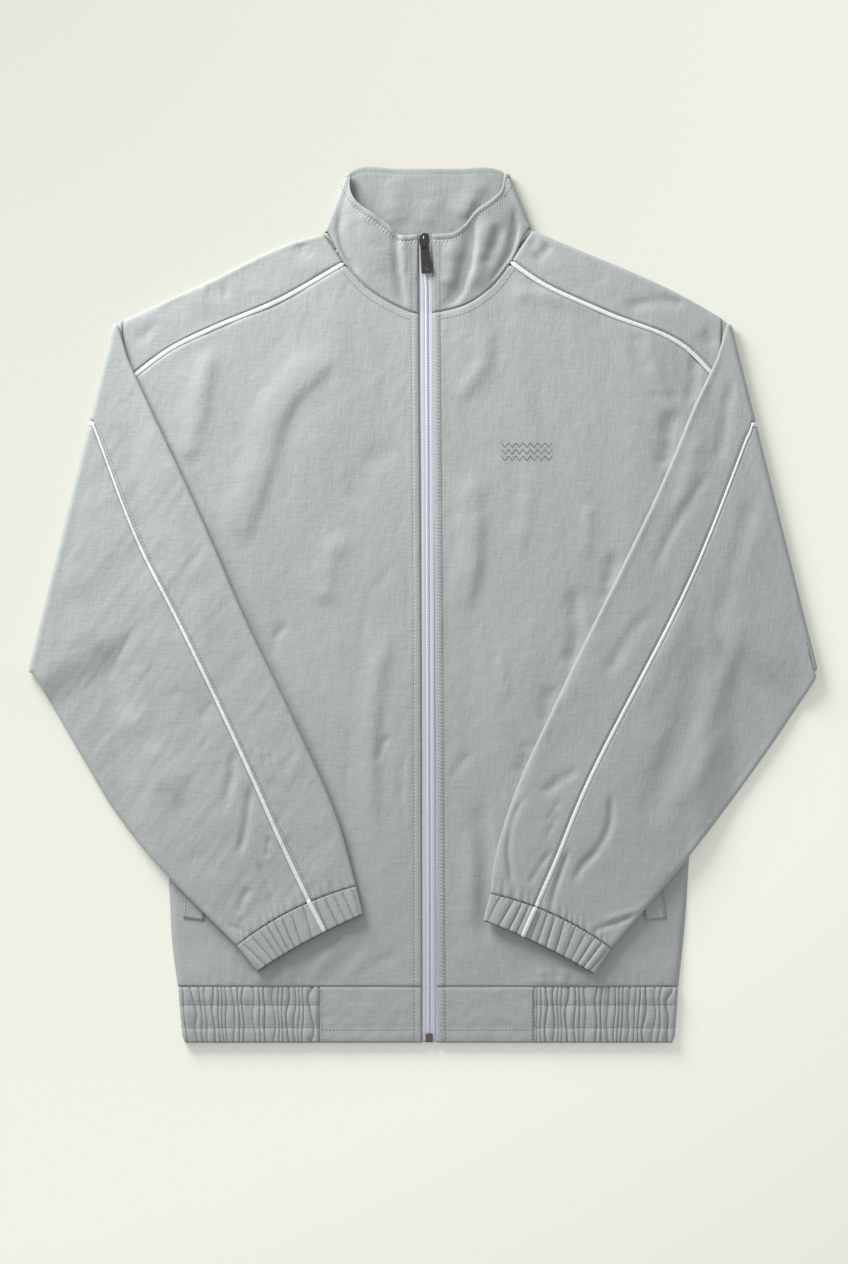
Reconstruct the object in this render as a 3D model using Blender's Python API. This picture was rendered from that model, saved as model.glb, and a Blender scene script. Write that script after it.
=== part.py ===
"""Track jacket laid flat, front up, sleeves folded in over the front.

Sizes are in millimetres, x across the garment, y up towards the collar, z up from the surface it lies on.
Every cloth piece is a wall on a grid of points, thickened by half the wall to each side.
"""

import math
from typing import NamedTuple

import bmesh
import bpy
import numpy as np

MM = 0.001
WALL = 1.2  # cloth
SEAM = 0.3  # gap between two pieces at a seam
BACK_MID = 0.6  # height of the back panel's middle, lying on the surface
ARMHOLE_MID = 3.0  # height of the upper layer's middle along the armholes
BODY_MID = 5.2  # height of the fronts' middle away from the edges
HEM_MID = 5.0  # height of the fronts' middle at the hem seam
RISE = 70.0  # width over which a front rises from its armhole
SIDE_ROLL = 6.0  # width of the roll along a side seam
FOLD_CENTRE = 4.4  # height and inset of the line round which a sleeve is folded over
FOLD_ANGLES = (-90.0, -52.0, -17.0, 17.0, 52.0, 90.0)
SLEEVE_LIFT = 2.8  # folded sleeve's lower layer above the armhole part, middle to middle
BODY_LIFT = 3.4  # the same above a front
SLEEVE_GAP = 2.4  # between the two layers of a sleeve at the fold, middle to middle
SLEEVE_PUFF = 4.0  # the same half way down
CUFF_GAP = 3.4  # the same at the cuff seam
SLEEVE_ROWS = 13  # sections from the fold to the cuff seam
EDGE_ROLL = 3.4  # width of the rounded edge of a flattened tube
DROP = 35.0  # width over which a sleeve comes down from the body to the surface
PIPING_HALF = 1.8
PIPING_THICK = 0.9
PIPING_SLOT = 2.1  # from a piping's middle to the cloth beside it
FRONT_SHARE = 0.36  # place of the front piping across a sleeve at the cuff
HEM_SEAM = -324.3
HEM_BOTTOM = -371.9
NECK_Y = 249.0
COLLAR_Y = 315.0
COLLAR_FRONT_MID = 11.0  # height of the collar's front at its top edge
GATHER = 5.5  # pitch of the hem's gathers
HEM_GATHER_BACK = 5.35
HEM_FRONT_MID, HEM_BACK_MID = 4.6, 1.2
CUFF_GATHERS = 13  # on each side of a cuff
CUFF_SEAM_BOW, CUFF_END_BOW = 6.0, 2.4  # how far the cuff's seam and end bow towards the elbow
TAPE = 14.0  # width of one zip tape
CLOTH = (0.43, 0.465, 0.455)


class Half(NamedTuple):
    """Named lines of one half of the garment, each a list of (x, y) in mm."""

    name: str
    sign: int
    zip_edge: tuple
    neck: tuple
    shoulder: tuple
    front_piping: tuple
    back_piping: tuple
    side: tuple
    tip: tuple
    elbow: tuple
    inner: tuple
    outer: tuple
    sleeve_piping: tuple
    cuff: tuple
    cuff_piping: tuple
    collar_top: tuple
    join: float
    band: tuple
    welt: tuple


LEFT = Half(
    name="left",
    sign=-1,
    zip_edge=((-1.1, -372.0), (-2.0, 0.0), (-3.9, 249.0), (-3.9, 315.0)),
    neck=((-3.9, 247.8), (-8.5, 248.8), (-23.8, 255.4), (-45.0, 268.2), (-67.2, 290.7)),
    shoulder=((-84.5, 316.5), (-106.3, 310.9), (-184.0, 275.5), (-256.0, 242.8)),
    front_piping=((-67.2, 290.7), (-121.6, 259.7), (-180.2, 235.0), (-213.4, 218.9), (-252.8, 190.0)),
    back_piping=((-70.0, 303.0), (-165.0, 250.0), (-252.3, 182.0)),
    side=((-240.6, -10.6), (-216.8, -233.0), (-213.4, -292.8), (-209.2, -324.3)),
    tip=(-263.5, 240.5),
    elbow=(-336.6, -59.0),
    inner=(
        (-263.5, 240.5), (-244.8, 195.5), (-231.2, 166.2), (-201.5, 103.3), (-172.6, 38.7),
        (-158.1, 4.7), (-104.6, -108.4), (-72.3, -182.3), (-56.5, -238.0),
    ),
    outer=((-336.6, -59.0), (-229.5, -216.3), (-218.5, -228.2), (-158.1, -288.6)),
    sleeve_piping=((-282.2, 159.4), (-234.6, 38.7), (-216.8, 4.7), (-112.2, -216.3), (-93.0, -258.0)),
    cuff=((-56.5, -238.0), (-158.1, -288.6), (-51.0, -262.2), (-140.3, -310.7)),
    cuff_piping=((-96.1, -252.0), (-83.3, -276.7)),
    collar_top=((-3.9, 315.0), (-20.0, 314.6), (-24.5, 320.9), (-45.0, 334.5), (-60.0, 354.0), (-65.8, 367.5)),
    join=-87.6,
    band=(-208.4, -206.6, -204.2),
    welt=((-204.0, -265.6), (-186.2, -268.0), (-199.0, -115.0), (-181.0, -117.0)),
)
RIGHT = Half(
    name="right",
    sign=1,
    zip_edge=((12.5, -372.0), (10.0, 0.0), (7.8, 249.0), (7.8, 315.0)),
    neck=((7.8, 248.6), (15.3, 249.8), (40.0, 257.4), (57.0, 269.9), (74.8, 292.0)),
    shoulder=((93.0, 319.5), (112.0, 311.3), (227.0, 260.2), (255.0, 244.0)),
    front_piping=((74.8, 292.0), (95.2, 277.5), (153.9, 249.5), (224.4, 218.9), (252.2, 191.0)),
    back_piping=((79.0, 304.0), (165.0, 250.0), (251.8, 182.0)),
    side=((242.0, -14.0), (227.0, -216.3), (223.6, -267.3), (218.0, -324.3)),
    tip=(262.3, 240.0),
    elbow=(336.6, -57.4),
    inner=(
        (262.3, 240.0), (244.8, 199.3), (232.0, 173.0), (212.5, 126.2), (196.4, 89.7),
        (171.7, 38.7), (116.5, -73.5), (69.7, -182.3), (58.7, -225.7), (57.0, -244.4),
    ),
    outer=((336.6, -57.4), (332.4, -64.2), (223.6, -216.3), (159.8, -291.1)),
    sleeve_piping=((282.2, 160.2), (234.6, 38.7), (125.8, -182.3), (116.5, -205.3), (92.0, -264.0)),
    cuff=((57.0, -244.4), (159.8, -291.1), (51.0, -267.3), (145.4, -313.0)),
    cuff_piping=((94.4, -258.0), (84.2, -281.0)),
    collar_top=((7.8, 315.0), (14.0, 315.0), (27.2, 317.5), (35.7, 323.4), (48.5, 340.4), (65.5, 353.2), (73.2, 367.0)),
    join=94.4,
    band=(217.2, 216.0, 213.8),
    welt=((206.6, -266.0), (188.7, -267.6), (189.5, -115.0), (171.5, -117.0)),
)
BACK_NECK = ((-70.0, 303.0), (-40.0, 294.5), (4.0, 291.0), (48.0, 295.0), (79.0, 304.0))
COLLAR_BACK_TOP = ((-65.8, 367.5), (-58.0, 371.6), (-20.0, 371.8), (30.0, 371.9), (64.0, 371.2), (73.2, 367.0))
ZIP_LINE = ((4.8, -372.0), (4.6, -200.0), (3.8, 120.0), (3.1, 268.0), (1.3, 315.0))


class Ridge(NamedTuple):
    """A soft fold from one point to another."""

    x0: float
    y0: float
    x1: float
    y1: float
    width: float
    height: float


FRONT_RIDGES = (
    Ridge(-215, 120, -120, -60, 18, 1.3),
    Ridge(-170, 160, -60, 20, 24, 0.9),
    Ridge(-40, 60, -30, -230, 14, 0.8),
    Ridge(-120, -60, -60, -260, 20, 0.9),
    Ridge(215, 110, 130, -40, 18, 1.3),
    Ridge(170, 150, 90, -30, 22, 0.9),
    Ridge(60, 40, 75, -250, 16, 1.0),
    Ridge(110, -80, 60, -240, 18, 0.9),
    Ridge(30, 180, 40, -40, 12, 0.6),
)
SLEEVE_RIDGES = (
    Ridge(-265, 60, -190, -90, 22, 1.2),
    Ridge(-300, -40, -180, -180, 24, 1.2),
    Ridge(-150, -120, -100, -240, 14, 1.0),
    Ridge(-200, -150, -150, -260, 14, 1.0),
    Ridge(215, 80, 250, -80, 20, 1.2),
    Ridge(290, -30, 200, -180, 24, 1.2),
    Ridge(150, -100, 80, -230, 14, 1.0),
    Ridge(190, -150, 140, -260, 14, 1.0),
)


def clear_scene():
    for thing in list(bpy.data.objects):
        bpy.data.objects.remove(thing, do_unlink=True)


def material(name, colour, roughness, metallic=0.0):
    made = bpy.data.materials.new(name)
    made.use_nodes = True
    shader = made.node_tree.nodes["Principled BSDF"]
    shader.inputs["Base Color"].default_value = (*colour, 1.0)
    shader.inputs["Roughness"].default_value = roughness
    shader.inputs["Metallic"].default_value = metallic
    made.diffuse_color = (*colour, 1.0)
    return made


def add_object(name, points, faces, colour, roughness=0.6, metallic=0.0, smooth=True):
    """A closed body from points in mm and faces, turned to face out, with its own material."""
    mesh = bpy.data.meshes.new(name)
    mesh.from_pydata((np.asarray(points) * MM).tolist(), [], [list(map(int, f)) for f in faces])
    shape = bmesh.new()
    shape.from_mesh(mesh)
    if shape.calc_volume(signed=True) < 0:
        bmesh.ops.reverse_faces(shape, faces=shape.faces)
    shape.to_mesh(mesh)
    shape.free()
    for face in mesh.polygons:
        face.use_smooth = smooth
    mesh.materials.append(material(name + "_finish", colour, roughness, metallic))
    made = bpy.data.objects.new(name, mesh)
    bpy.context.scene.collection.objects.link(made)
    return made


def ease(t):
    t = np.clip(t, 0.0, 1.0)
    return t * t * (3.0 - 2.0 * t)


def along(line, shares):
    """Points of a line at the given shares of its length."""
    line = np.asarray(line, float)
    steps = np.concatenate([[0.0], np.cumsum(np.linalg.norm(np.diff(line, axis=0), axis=1))])
    at = np.asarray(shares, float) * steps[-1]
    return np.stack([np.interp(at, steps, line[:, k]) for k in range(line.shape[1])], axis=-1)


def aside(line, distance):
    """A plan line moved sideways, to the left of its direction."""
    line = np.asarray(line, float)
    heading = np.gradient(line, axis=0)
    heading /= np.linalg.norm(heading, axis=1, keepdims=True)
    return line + distance * np.stack([-heading[:, 1], heading[:, 0]], axis=-1)


def crossing_share(start, end, line):
    """Share of the way from start to end at which a plan line is crossed."""
    start, end, line = np.asarray(start), np.asarray(end), np.asarray(line, float)
    run = end - start
    side = run[0] * (line[:, 1] - start[1]) - run[1] * (line[:, 0] - start[0])
    for k in range(len(line) - 1):
        if side[k] * side[k + 1] <= 0 and side[k] != side[k + 1]:
            point = line[k] + (line[k + 1] - line[k]) * side[k] / (side[k] - side[k + 1])
            return float(np.dot(point - start, run) / np.dot(run, run))
    nearest = line[np.argmin(np.abs(side))]
    return float(np.dot(nearest - start, run) / np.dot(run, run))


def ridges(rows, x, y):
    """Height of the soft folds at each point: round across, fading at both ends."""
    total = np.zeros_like(x)
    for row in rows:
        dx, dy = row.x1 - row.x0, row.y1 - row.y0
        size = math.hypot(dx, dy)
        share = ((x - row.x0) * dx + (y - row.y0) * dy) / size**2
        across = ((x - row.x0) * dy - (y - row.y0) * dx) / size
        ends = np.sin(np.pi * np.clip(share, 0.0, 1.0))
        total = total + row.height * ends * np.exp(-((across / row.width) ** 2))
    return total


def outline_x(half, y):
    """Where the body ends at each height: its armhole above the armpit, its side seam below."""
    line = np.asarray(half.side[::-1] + half.shoulder[-1:], float)
    return np.interp(y, line[:, 1], line[:, 0])


def front_mid(half, x, y):
    """Height of the middle of the front's wall, without the roll along its side seam."""
    inside = half.sign * (outline_x(half, y) - x)
    rise = ease(inside / RISE)
    plain = ARMHOLE_MID + (BODY_MID - ARMHOLE_MID) * rise
    folds = ridges(FRONT_RIDGES, x, y) * ease(inside / 30.0) * ease((y - HEM_SEAM) / 30.0)
    body = plain + folds * ease((210.0 - y) / 40.0)
    hem = HEM_MID - (HEM_MID - 4.2) * ease(1.0 - inside / 30.0)
    return body + (hem - body) * ease(1.0 - (y - HEM_SEAM) / 40.0)


def front_surface(half, x, y):
    """Height of the middle of the front's wall, rolled down to the surface along its side seam."""
    level = front_mid(half, x, y)
    inside = half.sign * (outline_x(half, y) - x) - WALL / 2
    bend = np.sqrt(1.0 - (1.0 - np.clip(inside / SIDE_ROLL, 0.0, 1.0)) ** 2)
    rolled = 0.4 + (level - 0.4) * bend
    return level + (rolled - level) * ease((half.side[0][1] - y) / 22.0)


def support(half, x, y):
    """Middle height of what a folded sleeve lies on: the front, the armhole part, then the surface outside."""
    inside = half.sign * (outline_x(half, y) - x)
    pit, elbow = np.asarray(half.side[0]), np.asarray(half.elbow)
    run = (elbow - pit) / np.linalg.norm(elbow - pit)
    below = half.sign * ((x - pit[0]) * run[1] - (y - pit[1]) * run[0])
    outside = np.minimum(-inside, below)
    over = front_mid(half, x, y) + (BODY_LIFT - SLEEVE_LIFT) * ease(inside / 25.0)
    floor = WALL / 2 + 0.3 - SLEEVE_LIFT
    return over + (floor - over) * ease(outside / DROP)


def grid_normals(grid, wrap=False):
    """Unit normals of a grid of points, from the quads round each."""
    across = np.concatenate([grid, grid[:, :1]], axis=1) if wrap else grid
    one = across[1:, 1:] - across[:-1, :-1]
    two = across[1:, :-1] - across[:-1, 1:]
    face = np.cross(one, two)
    face /= np.maximum(np.linalg.norm(face, axis=2, keepdims=True), 1e-9)
    total = np.zeros_like(across)
    for i, j in ((0, 0), (0, 1), (1, 0), (1, 1)):
        total[i : total.shape[0] - 1 + i, j : total.shape[1] - 1 + j] += face
    if wrap:
        total[:, 0] += total[:, -1]
        total = total[:, :-1]
    return total / np.maximum(np.linalg.norm(total, axis=2, keepdims=True), 1e-9)


def wall(name, grid, colour=CLOTH, thick=WALL, wrap=False, roughness=0.62):
    """A closed wall on a grid of middle points."""
    rows, columns = grid.shape[:2]
    normals = grid_normals(grid, wrap) * thick / 2
    points = np.concatenate([(grid + normals).reshape(-1, 3), (grid - normals).reshape(-1, 3)])
    index = np.arange(rows * columns).reshape(rows, columns)
    if wrap:
        index = np.concatenate([index, index[:, :1]], axis=1)
    under = index + rows * columns
    faces = []
    for top, sense in ((index, 1), (under, -1)):
        quads = np.stack([top[:-1, :-1], top[:-1, 1:], top[1:, 1:], top[1:, :-1]], axis=-1)
        faces.append(quads.reshape(-1, 4)[:, ::sense])
    edges = [(index[0], under[0], 1), (index[-1], under[-1], -1)]
    if not wrap:
        edges += [(index[:, 0], under[:, 0], -1), (index[:, -1], under[:, -1], 1)]
    for top, low, sense in edges:
        faces.append(np.stack([top[:-1], low[:-1], low[1:], top[1:]], axis=-1)[:, ::sense])
    return add_object(name, points, np.concatenate(faces), colour, roughness)


def cord(name, centres, across, colour, half_width=PIPING_HALF, half_thick=PIPING_THICK):
    """A flat-sided cord along centres, its width laid in the direction of across."""
    centres = np.asarray(centres)
    heading = np.gradient(centres, axis=0)
    up = np.cross(heading, across)
    up /= np.linalg.norm(up, axis=1, keepdims=True)
    sides = 6
    turn = np.arange(sides) * 2 * np.pi / sides
    ring = (
        centres[:, None]
        + half_width * np.cos(turn)[None, :, None] * across[:, None]
        + half_thick * np.sin(turn)[None, :, None] * up[:, None]
    )
    ring[..., 2] = np.maximum(ring[..., 2], 0.0)
    index = np.arange(len(centres) * sides).reshape(-1, sides)
    following = np.roll(index, -1, axis=1)
    faces = np.stack([index[:-1], following[:-1], following[1:], index[1:]], axis=-1).reshape(-1, 4)
    caps = [index[0][::-1].tolist(), index[-1].tolist()]
    return add_object(name, ring.reshape(-1, 3), faces.tolist() + caps, colour, 0.5)


def coons(low, top, start, end, across, up):
    """Plan points of a patch between four lines that share their corners."""
    u, v = np.asarray(across)[None, :, None], np.asarray(up)[:, None, None]
    sides = (1 - u) * start[:, None] + u * end[:, None]
    ends = (1 - v) * low[None] + v * top[None]
    corners = (
        (1 - u) * (1 - v) * low[0] + u * (1 - v) * low[-1] + (1 - u) * v * top[0] + u * v * top[-1]
    )
    return sides + ends - corners


def lay(half, plan):
    """A plan grid laid on the front's surface."""
    return np.dstack([plan, front_surface(half, plan[..., 0], plan[..., 1])])


def shoulder_stations():
    """Shares of the shoulder at which front, yoke and piping have a section, closer at the armhole."""
    return np.array([0.0, 0.13, 0.28, 0.45, 0.62, 0.78, 0.9, 0.965, 0.987, 0.9965, 1.0])


def yoke_stations():
    return np.append(shoulder_stations()[:-3], 0.9985)


def build_front(half):
    """Front panel between zip, hem seam, side seam, armhole, shoulder piping and neck seam."""
    neck = aside(along(half.neck, np.linspace(0, 1, 6)), half.sign * -SEAM / 2)
    piping = aside(along(half.front_piping, shoulder_stations()), half.sign * -PIPING_SLOT)
    top = np.concatenate([neck[:-1], piping])
    top[:, 0] -= half.sign * 0.15 * ease((np.abs(top[:, 0]) - 200.0) / 50.0)
    across = (top[:, 0] - top[0, 0]) / (top[-1, 0] - top[0, 0])
    edge = np.concatenate([top[-1:], np.asarray(half.side, float)])[::-1]
    edge[:, 0] -= half.sign * np.where(edge[:, 1] < half.side[0][1] + 5, WALL / 2, SEAM / 2)
    edge[-1] = top[-1]
    up = np.concatenate([np.linspace(0.0, 0.52, 11), np.linspace(0.56, 1.0, 8)])
    low_left = (np.interp(HEM_SEAM, *zip(*[(y, x) for x, y in half.zip_edge])), HEM_SEAM)
    start = along([low_left, *[p for p in half.zip_edge[1:2]], top[0]], up)
    end = along(edge, up)
    low = np.stack([start[0, 0] + across * (end[0, 0] - start[0, 0]), np.full(len(across), HEM_SEAM + SEAM / 2)], 1)
    start[0, 1] = end[0, 1] = HEM_SEAM + SEAM / 2
    plan = coons(low, top, start, end, across, up)
    return wall(f"front_{half.name}", lay(half, plan))


def edge_height(low, high, distance, roll):
    """Heights of the lower and upper layer of a flattened tube at a distance from its rounded edge."""
    bend = np.sqrt(1.0 - (1.0 - np.clip(distance / roll, 0.0, 1.0)) ** 2)
    middle, spread = (low + high) / 2, (high - low) / 2
    return middle - spread * bend, middle + spread * bend


def yoke_sections(half):
    """Grid of the yoke: a row for each shoulder station, from the front piping over the edge to the back one."""
    stations = yoke_stations()
    front = aside(along(half.front_piping, stations), half.sign * PIPING_SLOT)
    back = aside(along(half.back_piping, stations), half.sign * PIPING_SLOT)
    edge = aside(along(half.shoulder, stations), -half.sign * WALL / 2)
    rows = []
    for f, t, b in zip(front, edge, back):
        over, round_back = np.linalg.norm(f - t), np.linalg.norm(b - t)
        steps = [(1.0, 1), (0.55, 1), (3.4 / over, 1), (0.9 / over, 1), (0.0, 1)]
        steps += [(0.9 / round_back, 0), (3.4 / round_back, 0), (0.55, 0), (1.0, 0)]
        row = []
        for share, upper in steps:
            plan = t + (f - t if upper else b - t) * share
            limit = abs(float(outline_x(half, plan[1]))) - SEAM / 2
            past = max(abs(plan[0]) - limit, 0.0)
            plan = np.array([plan[0] - half.sign * past, plan[1] + past])
            distance = share * (over if upper else round_back)
            high = front_mid(half, plan[0], plan[1])
            z = edge_height(BACK_MID, high, distance, EDGE_ROLL)[upper]
            row.append((plan[0], plan[1], float(z)))
        rows.append(row)
    return np.array(rows)


class Section(NamedTuple):
    """One section of a sleeve: its two plan ends, where the pipings cross it, and where it stands in the fold."""

    top: np.ndarray
    under: np.ndarray
    front_share: float
    back_share: float
    turn: float
    after: float


def sleeve_sections(half):
    """Sections of a sleeve from the armhole, round the fold, to the cuff seam."""
    tip, elbow = np.asarray(half.tip), np.asarray(half.elbow)
    run = (elbow - tip) / np.linalg.norm(elbow - tip)
    inward = np.array([run[1], -run[0]]) * half.sign
    centre_tip = tip + inward * FOLD_CENTRE + run * 1.0
    centre_elbow = elbow + inward * FOLD_CENTRE - run * 3.0
    armhole_top = np.asarray(half.shoulder[-1]) + np.array([half.sign * SEAM, -0.6])
    pit = np.asarray(half.side[0]) + np.array([half.sign * SEAM, 0.0])
    size = np.linalg.norm(pit - armhole_top)
    arm_front = (armhole_top[1] - half.front_piping[-1][1]) / size
    arm_back = (armhole_top[1] - half.back_piping[-1][1]) / size
    fold_back = crossing_share(centre_tip, centre_elbow, half.sleeve_piping)
    fold_back = max(fold_back, np.linalg.norm(np.asarray(half.sleeve_piping[0]) - tip) / np.linalg.norm(elbow - tip))
    fold_front = fold_back - 0.036
    made = [Section(armhole_top, pit, arm_front, arm_back, -90.0, 0.0)]
    made.append(
        Section(
            (armhole_top + centre_tip) / 2, (pit + centre_elbow) / 2, (arm_front + fold_front) / 2,
            (arm_back + fold_back) / 2, -90.0, 0.0,
        )
    )
    for angle in FOLD_ANGLES:
        made.append(Section(centre_tip, centre_elbow, fold_front, fold_back, angle, 0.0))
    inner = np.concatenate([[centre_tip], np.asarray(half.inner[1:])])
    outer = np.concatenate([[centre_elbow], np.asarray(half.outer[1:])])
    shares = np.linspace(0, 1, SLEEVE_ROWS + 1)[1:]
    for share, t, u in zip(shares, along(inner, shares), along(outer, shares)):
        back_share = crossing_share(t, u, half.sleeve_piping)
        front_share = fold_front + (FRONT_SHARE - fold_front) * share
        made.append(Section(t, u, front_share, back_share, 90.0, share))
    return made, inward


def section_point(half, section, inward, share, upper):
    """A point of a sleeve section, on the layer of the back (upper once folded over) or of the front."""
    size = np.linalg.norm(section.under - section.top)
    plan = section.top + (section.under - section.top) * share
    distance = min(share, 1.0 - share) * size
    if section.after == 0.0:
        low, high = edge_height(BACK_MID, ARMHOLE_MID, distance, EDGE_ROLL)
        flat = low if upper else high
        radius = FOLD_CENTRE - flat
        angle = math.radians(section.turn)
        plan = plan - inward * radius * math.cos(angle)
        return plan[0], plan[1], FOLD_CENTRE + radius * math.sin(angle)
    run = (section.under - section.top) / size
    plan = plan + run * (WALL / 2) * (1.0 - 2.0 * share)
    bow = CUFF_SEAM_BOW * 4 * share * (1.0 - share) * float(ease((section.after - 0.7) / 0.3))
    plan = plan + np.array([-run[1], run[0]]) * half.sign * bow
    away = abs(float(np.dot(plan - np.asarray(half.tip), inward))) - FOLD_CENTRE
    rest = float(support(half, plan[0], plan[1])) + SLEEVE_LIFT
    flat = 2 * FOLD_CENTRE - ARMHOLE_MID
    low = flat + (rest - flat) * float(ease(away / 24.0))
    puff = SLEEVE_GAP + (SLEEVE_PUFF - SLEEVE_GAP) * float(ease(away / 60.0))
    puff += (CUFF_GAP - puff) * float(ease((section.after - 0.75) / 0.25))
    puff += float(ridges(SLEEVE_RIDGES, plan[0], plan[1])) * float(ease((1.0 - section.after) / 0.15))
    z = edge_height(low, low + puff, distance, EDGE_ROLL)[upper]
    return plan[0], plan[1], float(z)


def build_sleeve(half):
    """Strip and under part of a sleeve. Returns the middle lines of its two pipings."""
    sections, inward = sleeve_sections(half)
    strip, under = [], []
    for section in sections:
        size = np.linalg.norm(section.under - section.top)
        slot = PIPING_SLOT / size
        roll, near = EDGE_ROLL / size, 0.9 / size
        f, b = section.front_share, section.back_share
        strip_steps = [(f - slot, 0), (f * 0.5, 0), (roll, 0), (near, 0), (0.0, 0)]
        strip_steps += [(near, 1), (roll, 1), (b * 0.5, 1), (b - slot, 1)]
        under_steps = [(b + slot + (1 - roll - b - slot) * k / 4, 1) for k in range(5)]
        under_steps += [(1 - near, 1), (1.0, 1), (1 - near, 0)]
        under_steps += [(1 - roll - (1 - roll - f - slot) * k / 4, 0) for k in range(5)]
        strip.append([section_point(half, section, inward, s, k) for s, k in strip_steps])
        under.append([section_point(half, section, inward, s, k) for s, k in under_steps])
    strip, under = np.array(strip), np.array(under)
    wall(f"sleeve_strip_{half.name}", strip)
    wall(f"sleeve_under_{half.name}", under)
    back = (strip[:, -1], under[:, 0])
    front = (under[:, -1], strip[:, 0])
    return front, back


def build_shoulder_and_sleeve(half):
    """Yoke, sleeve and the two pipings that run from the collar to the cuff."""
    yoke = yoke_sections(half)
    wall(f"yoke_{half.name}", yoke)
    sleeve_front, sleeve_back = build_sleeve(half)
    stations = yoke_stations()
    line = along(half.front_piping, stations)
    below = lay(half, aside(line, -half.sign * PIPING_SLOT)[None])[0]
    below[:, 2] = front_mid(half, below[:, 0], below[:, 1])
    under_line = aside(along(half.back_piping, stations), -half.sign * PIPING_SLOT)
    under_line = np.column_stack([under_line, np.full(len(under_line), BACK_MID)])
    for name, first, second, row in (
        ("front", (below, yoke[:, 0]), sleeve_front, 0),
        ("back", (yoke[:, -1], under_line), sleeve_back, 1),
    ):
        one = np.concatenate([first[0][:-1], second[0]])
        two = np.concatenate([first[1][:-1], second[1]])
        across = two - one
        across /= np.linalg.norm(across, axis=1, keepdims=True)
        cord(f"piping_{name}_{half.name}", (one + two) / 2, across, (0.9, 0.91, 0.93))


def build_back():
    """Back panel, flat on the surface, between the two back pipings, the neck, the armholes and the hem seam."""
    edges = []
    for half in (LEFT, RIGHT):
        piping_end = aside(along(half.back_piping, yoke_stations()), -half.sign * PIPING_SLOT)[-1]
        edge = np.concatenate([piping_end[None], np.asarray(half.side, float)])[::-1]
        edge[:, 0] -= half.sign * np.where(edge[:, 1] < half.side[0][1] + 5, 2 * WALL + SEAM, SEAM / 2)
        edge[0, 1] = HEM_SEAM + SEAM / 2
        edges.append(along(edge, np.linspace(0, 1, 13)))
    left = aside(along(LEFT.back_piping, yoke_stations()), PIPING_SLOT)[::-1]
    right = aside(along(RIGHT.back_piping, yoke_stations()), -PIPING_SLOT)
    neck = aside(along(BACK_NECK, np.linspace(0, 1, 7)), -SEAM / 2)
    top = np.concatenate([left, neck[1:-1], right])
    top[0], top[-1] = edges[0][-1], edges[1][-1]
    across = (top[:, 0] - top[0, 0]) / (top[-1, 0] - top[0, 0])
    low = edges[0][0] + across[:, None] * (edges[1][0] - edges[0][0])
    plan = coons(low, top, edges[0], edges[1], across, np.linspace(0, 1, 13))
    return wall("back", np.dstack([plan, np.full(plan.shape[:2], BACK_MID)]))


def build_collar():
    """Stand-up collar, laid down: its back half flat on the surface, its front half lying over the neck."""
    columns = []
    rise = (0.0, 0.2, 0.42, 0.66, 0.86, 1.0)
    front_shares = np.array([0.0, 0.1, 0.22, 0.36, 0.52, 0.68, 0.82, 0.92])
    back_shares = np.linspace(0.06, 0.94, 11)
    for half in (LEFT, RIGHT):
        neck = along(half.neck, np.linspace(0, 1, 6))
        neck = np.concatenate([neck, along([neck[-1], half.shoulder[0]], [0.45, 0.8])])
        low = aside(neck, half.sign * SEAM)
        high = along(half.collar_top, front_shares)
        low_end = np.asarray(half.shoulder[0]) + (half.sign * -0.4, 0.8)
        high_end = np.asarray(half.collar_top[-1])
        made = []
        for base, top in zip(low, high):
            made.append([front_collar_point(half, base, top, low_end, high_end, v) for v in rise])
        for turn in (60.0, 30.0, 0.0, -30.0, -60.0):
            made.append([side_collar_point(half, low_end, high_end, turn, v) for v in rise])
        columns.append(made)
    back_low = aside(along(BACK_NECK, back_shares), 1.2)
    back_high = along(COLLAR_BACK_TOP, back_shares)
    back = [[(*(b + (t - b) * v), BACK_MID) for v in rise] for b, t in zip(back_low, back_high)]
    return wall("collar", np.array(columns[0] + back + columns[1][::-1]))


def collar_level(v):
    """Height of the middle of the collar's front at a share of the way from the neck seam to its top edge."""
    return BODY_MID + (COLLAR_FRONT_MID - BODY_MID) * (0.7 * v + 0.3 * math.sin(math.pi * v / 2))


def front_collar_point(half, base, top, low_end, high_end, v):
    plan = base + (top - base) * v
    end = low_end + (high_end - low_end) * v
    reach = float(np.linalg.norm(plan - end))
    level = collar_level(v)
    if v == 0.0:
        level = float(front_mid(half, plan[0], plan[1]))
    radius = (level - BACK_MID) / 2
    z = edge_height(BACK_MID, level, reach, radius)[1]
    return plan[0], plan[1], float(z)


def side_collar_point(half, low_end, high_end, turn, v):
    """A point of the rounded side fold, turn degrees above its outermost line."""
    end = low_end + (high_end - low_end) * v
    level = collar_level(v)
    if v == 0.0:
        level = float(front_mid(half, end[0], end[1]))
    radius = (level - BACK_MID) / 2
    inset = radius * (1.0 - math.cos(math.radians(turn))) + WALL / 2
    z = BACK_MID + radius * (1.0 + math.sin(math.radians(turn)))
    return end[0] - half.sign * inset, end[1], z


def build_hem_plain(half):
    """Ungathered hem band from the zip to the join with the gathered one."""
    start = np.interp(HEM_SEAM, [p[1] for p in half.zip_edge], [p[0] for p in half.zip_edge])
    x = np.linspace(start, half.join - half.sign * SEAM / 2, 7)
    y = np.array([HEM_SEAM - SEAM / 2, -345.0, HEM_BOTTOM])
    gx, gy = np.meshgrid(x, y)
    return wall(f"hem_plain_{half.name}", np.dstack([gx, gy, np.full(gx.shape, HEM_MID - 0.1)]))


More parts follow.
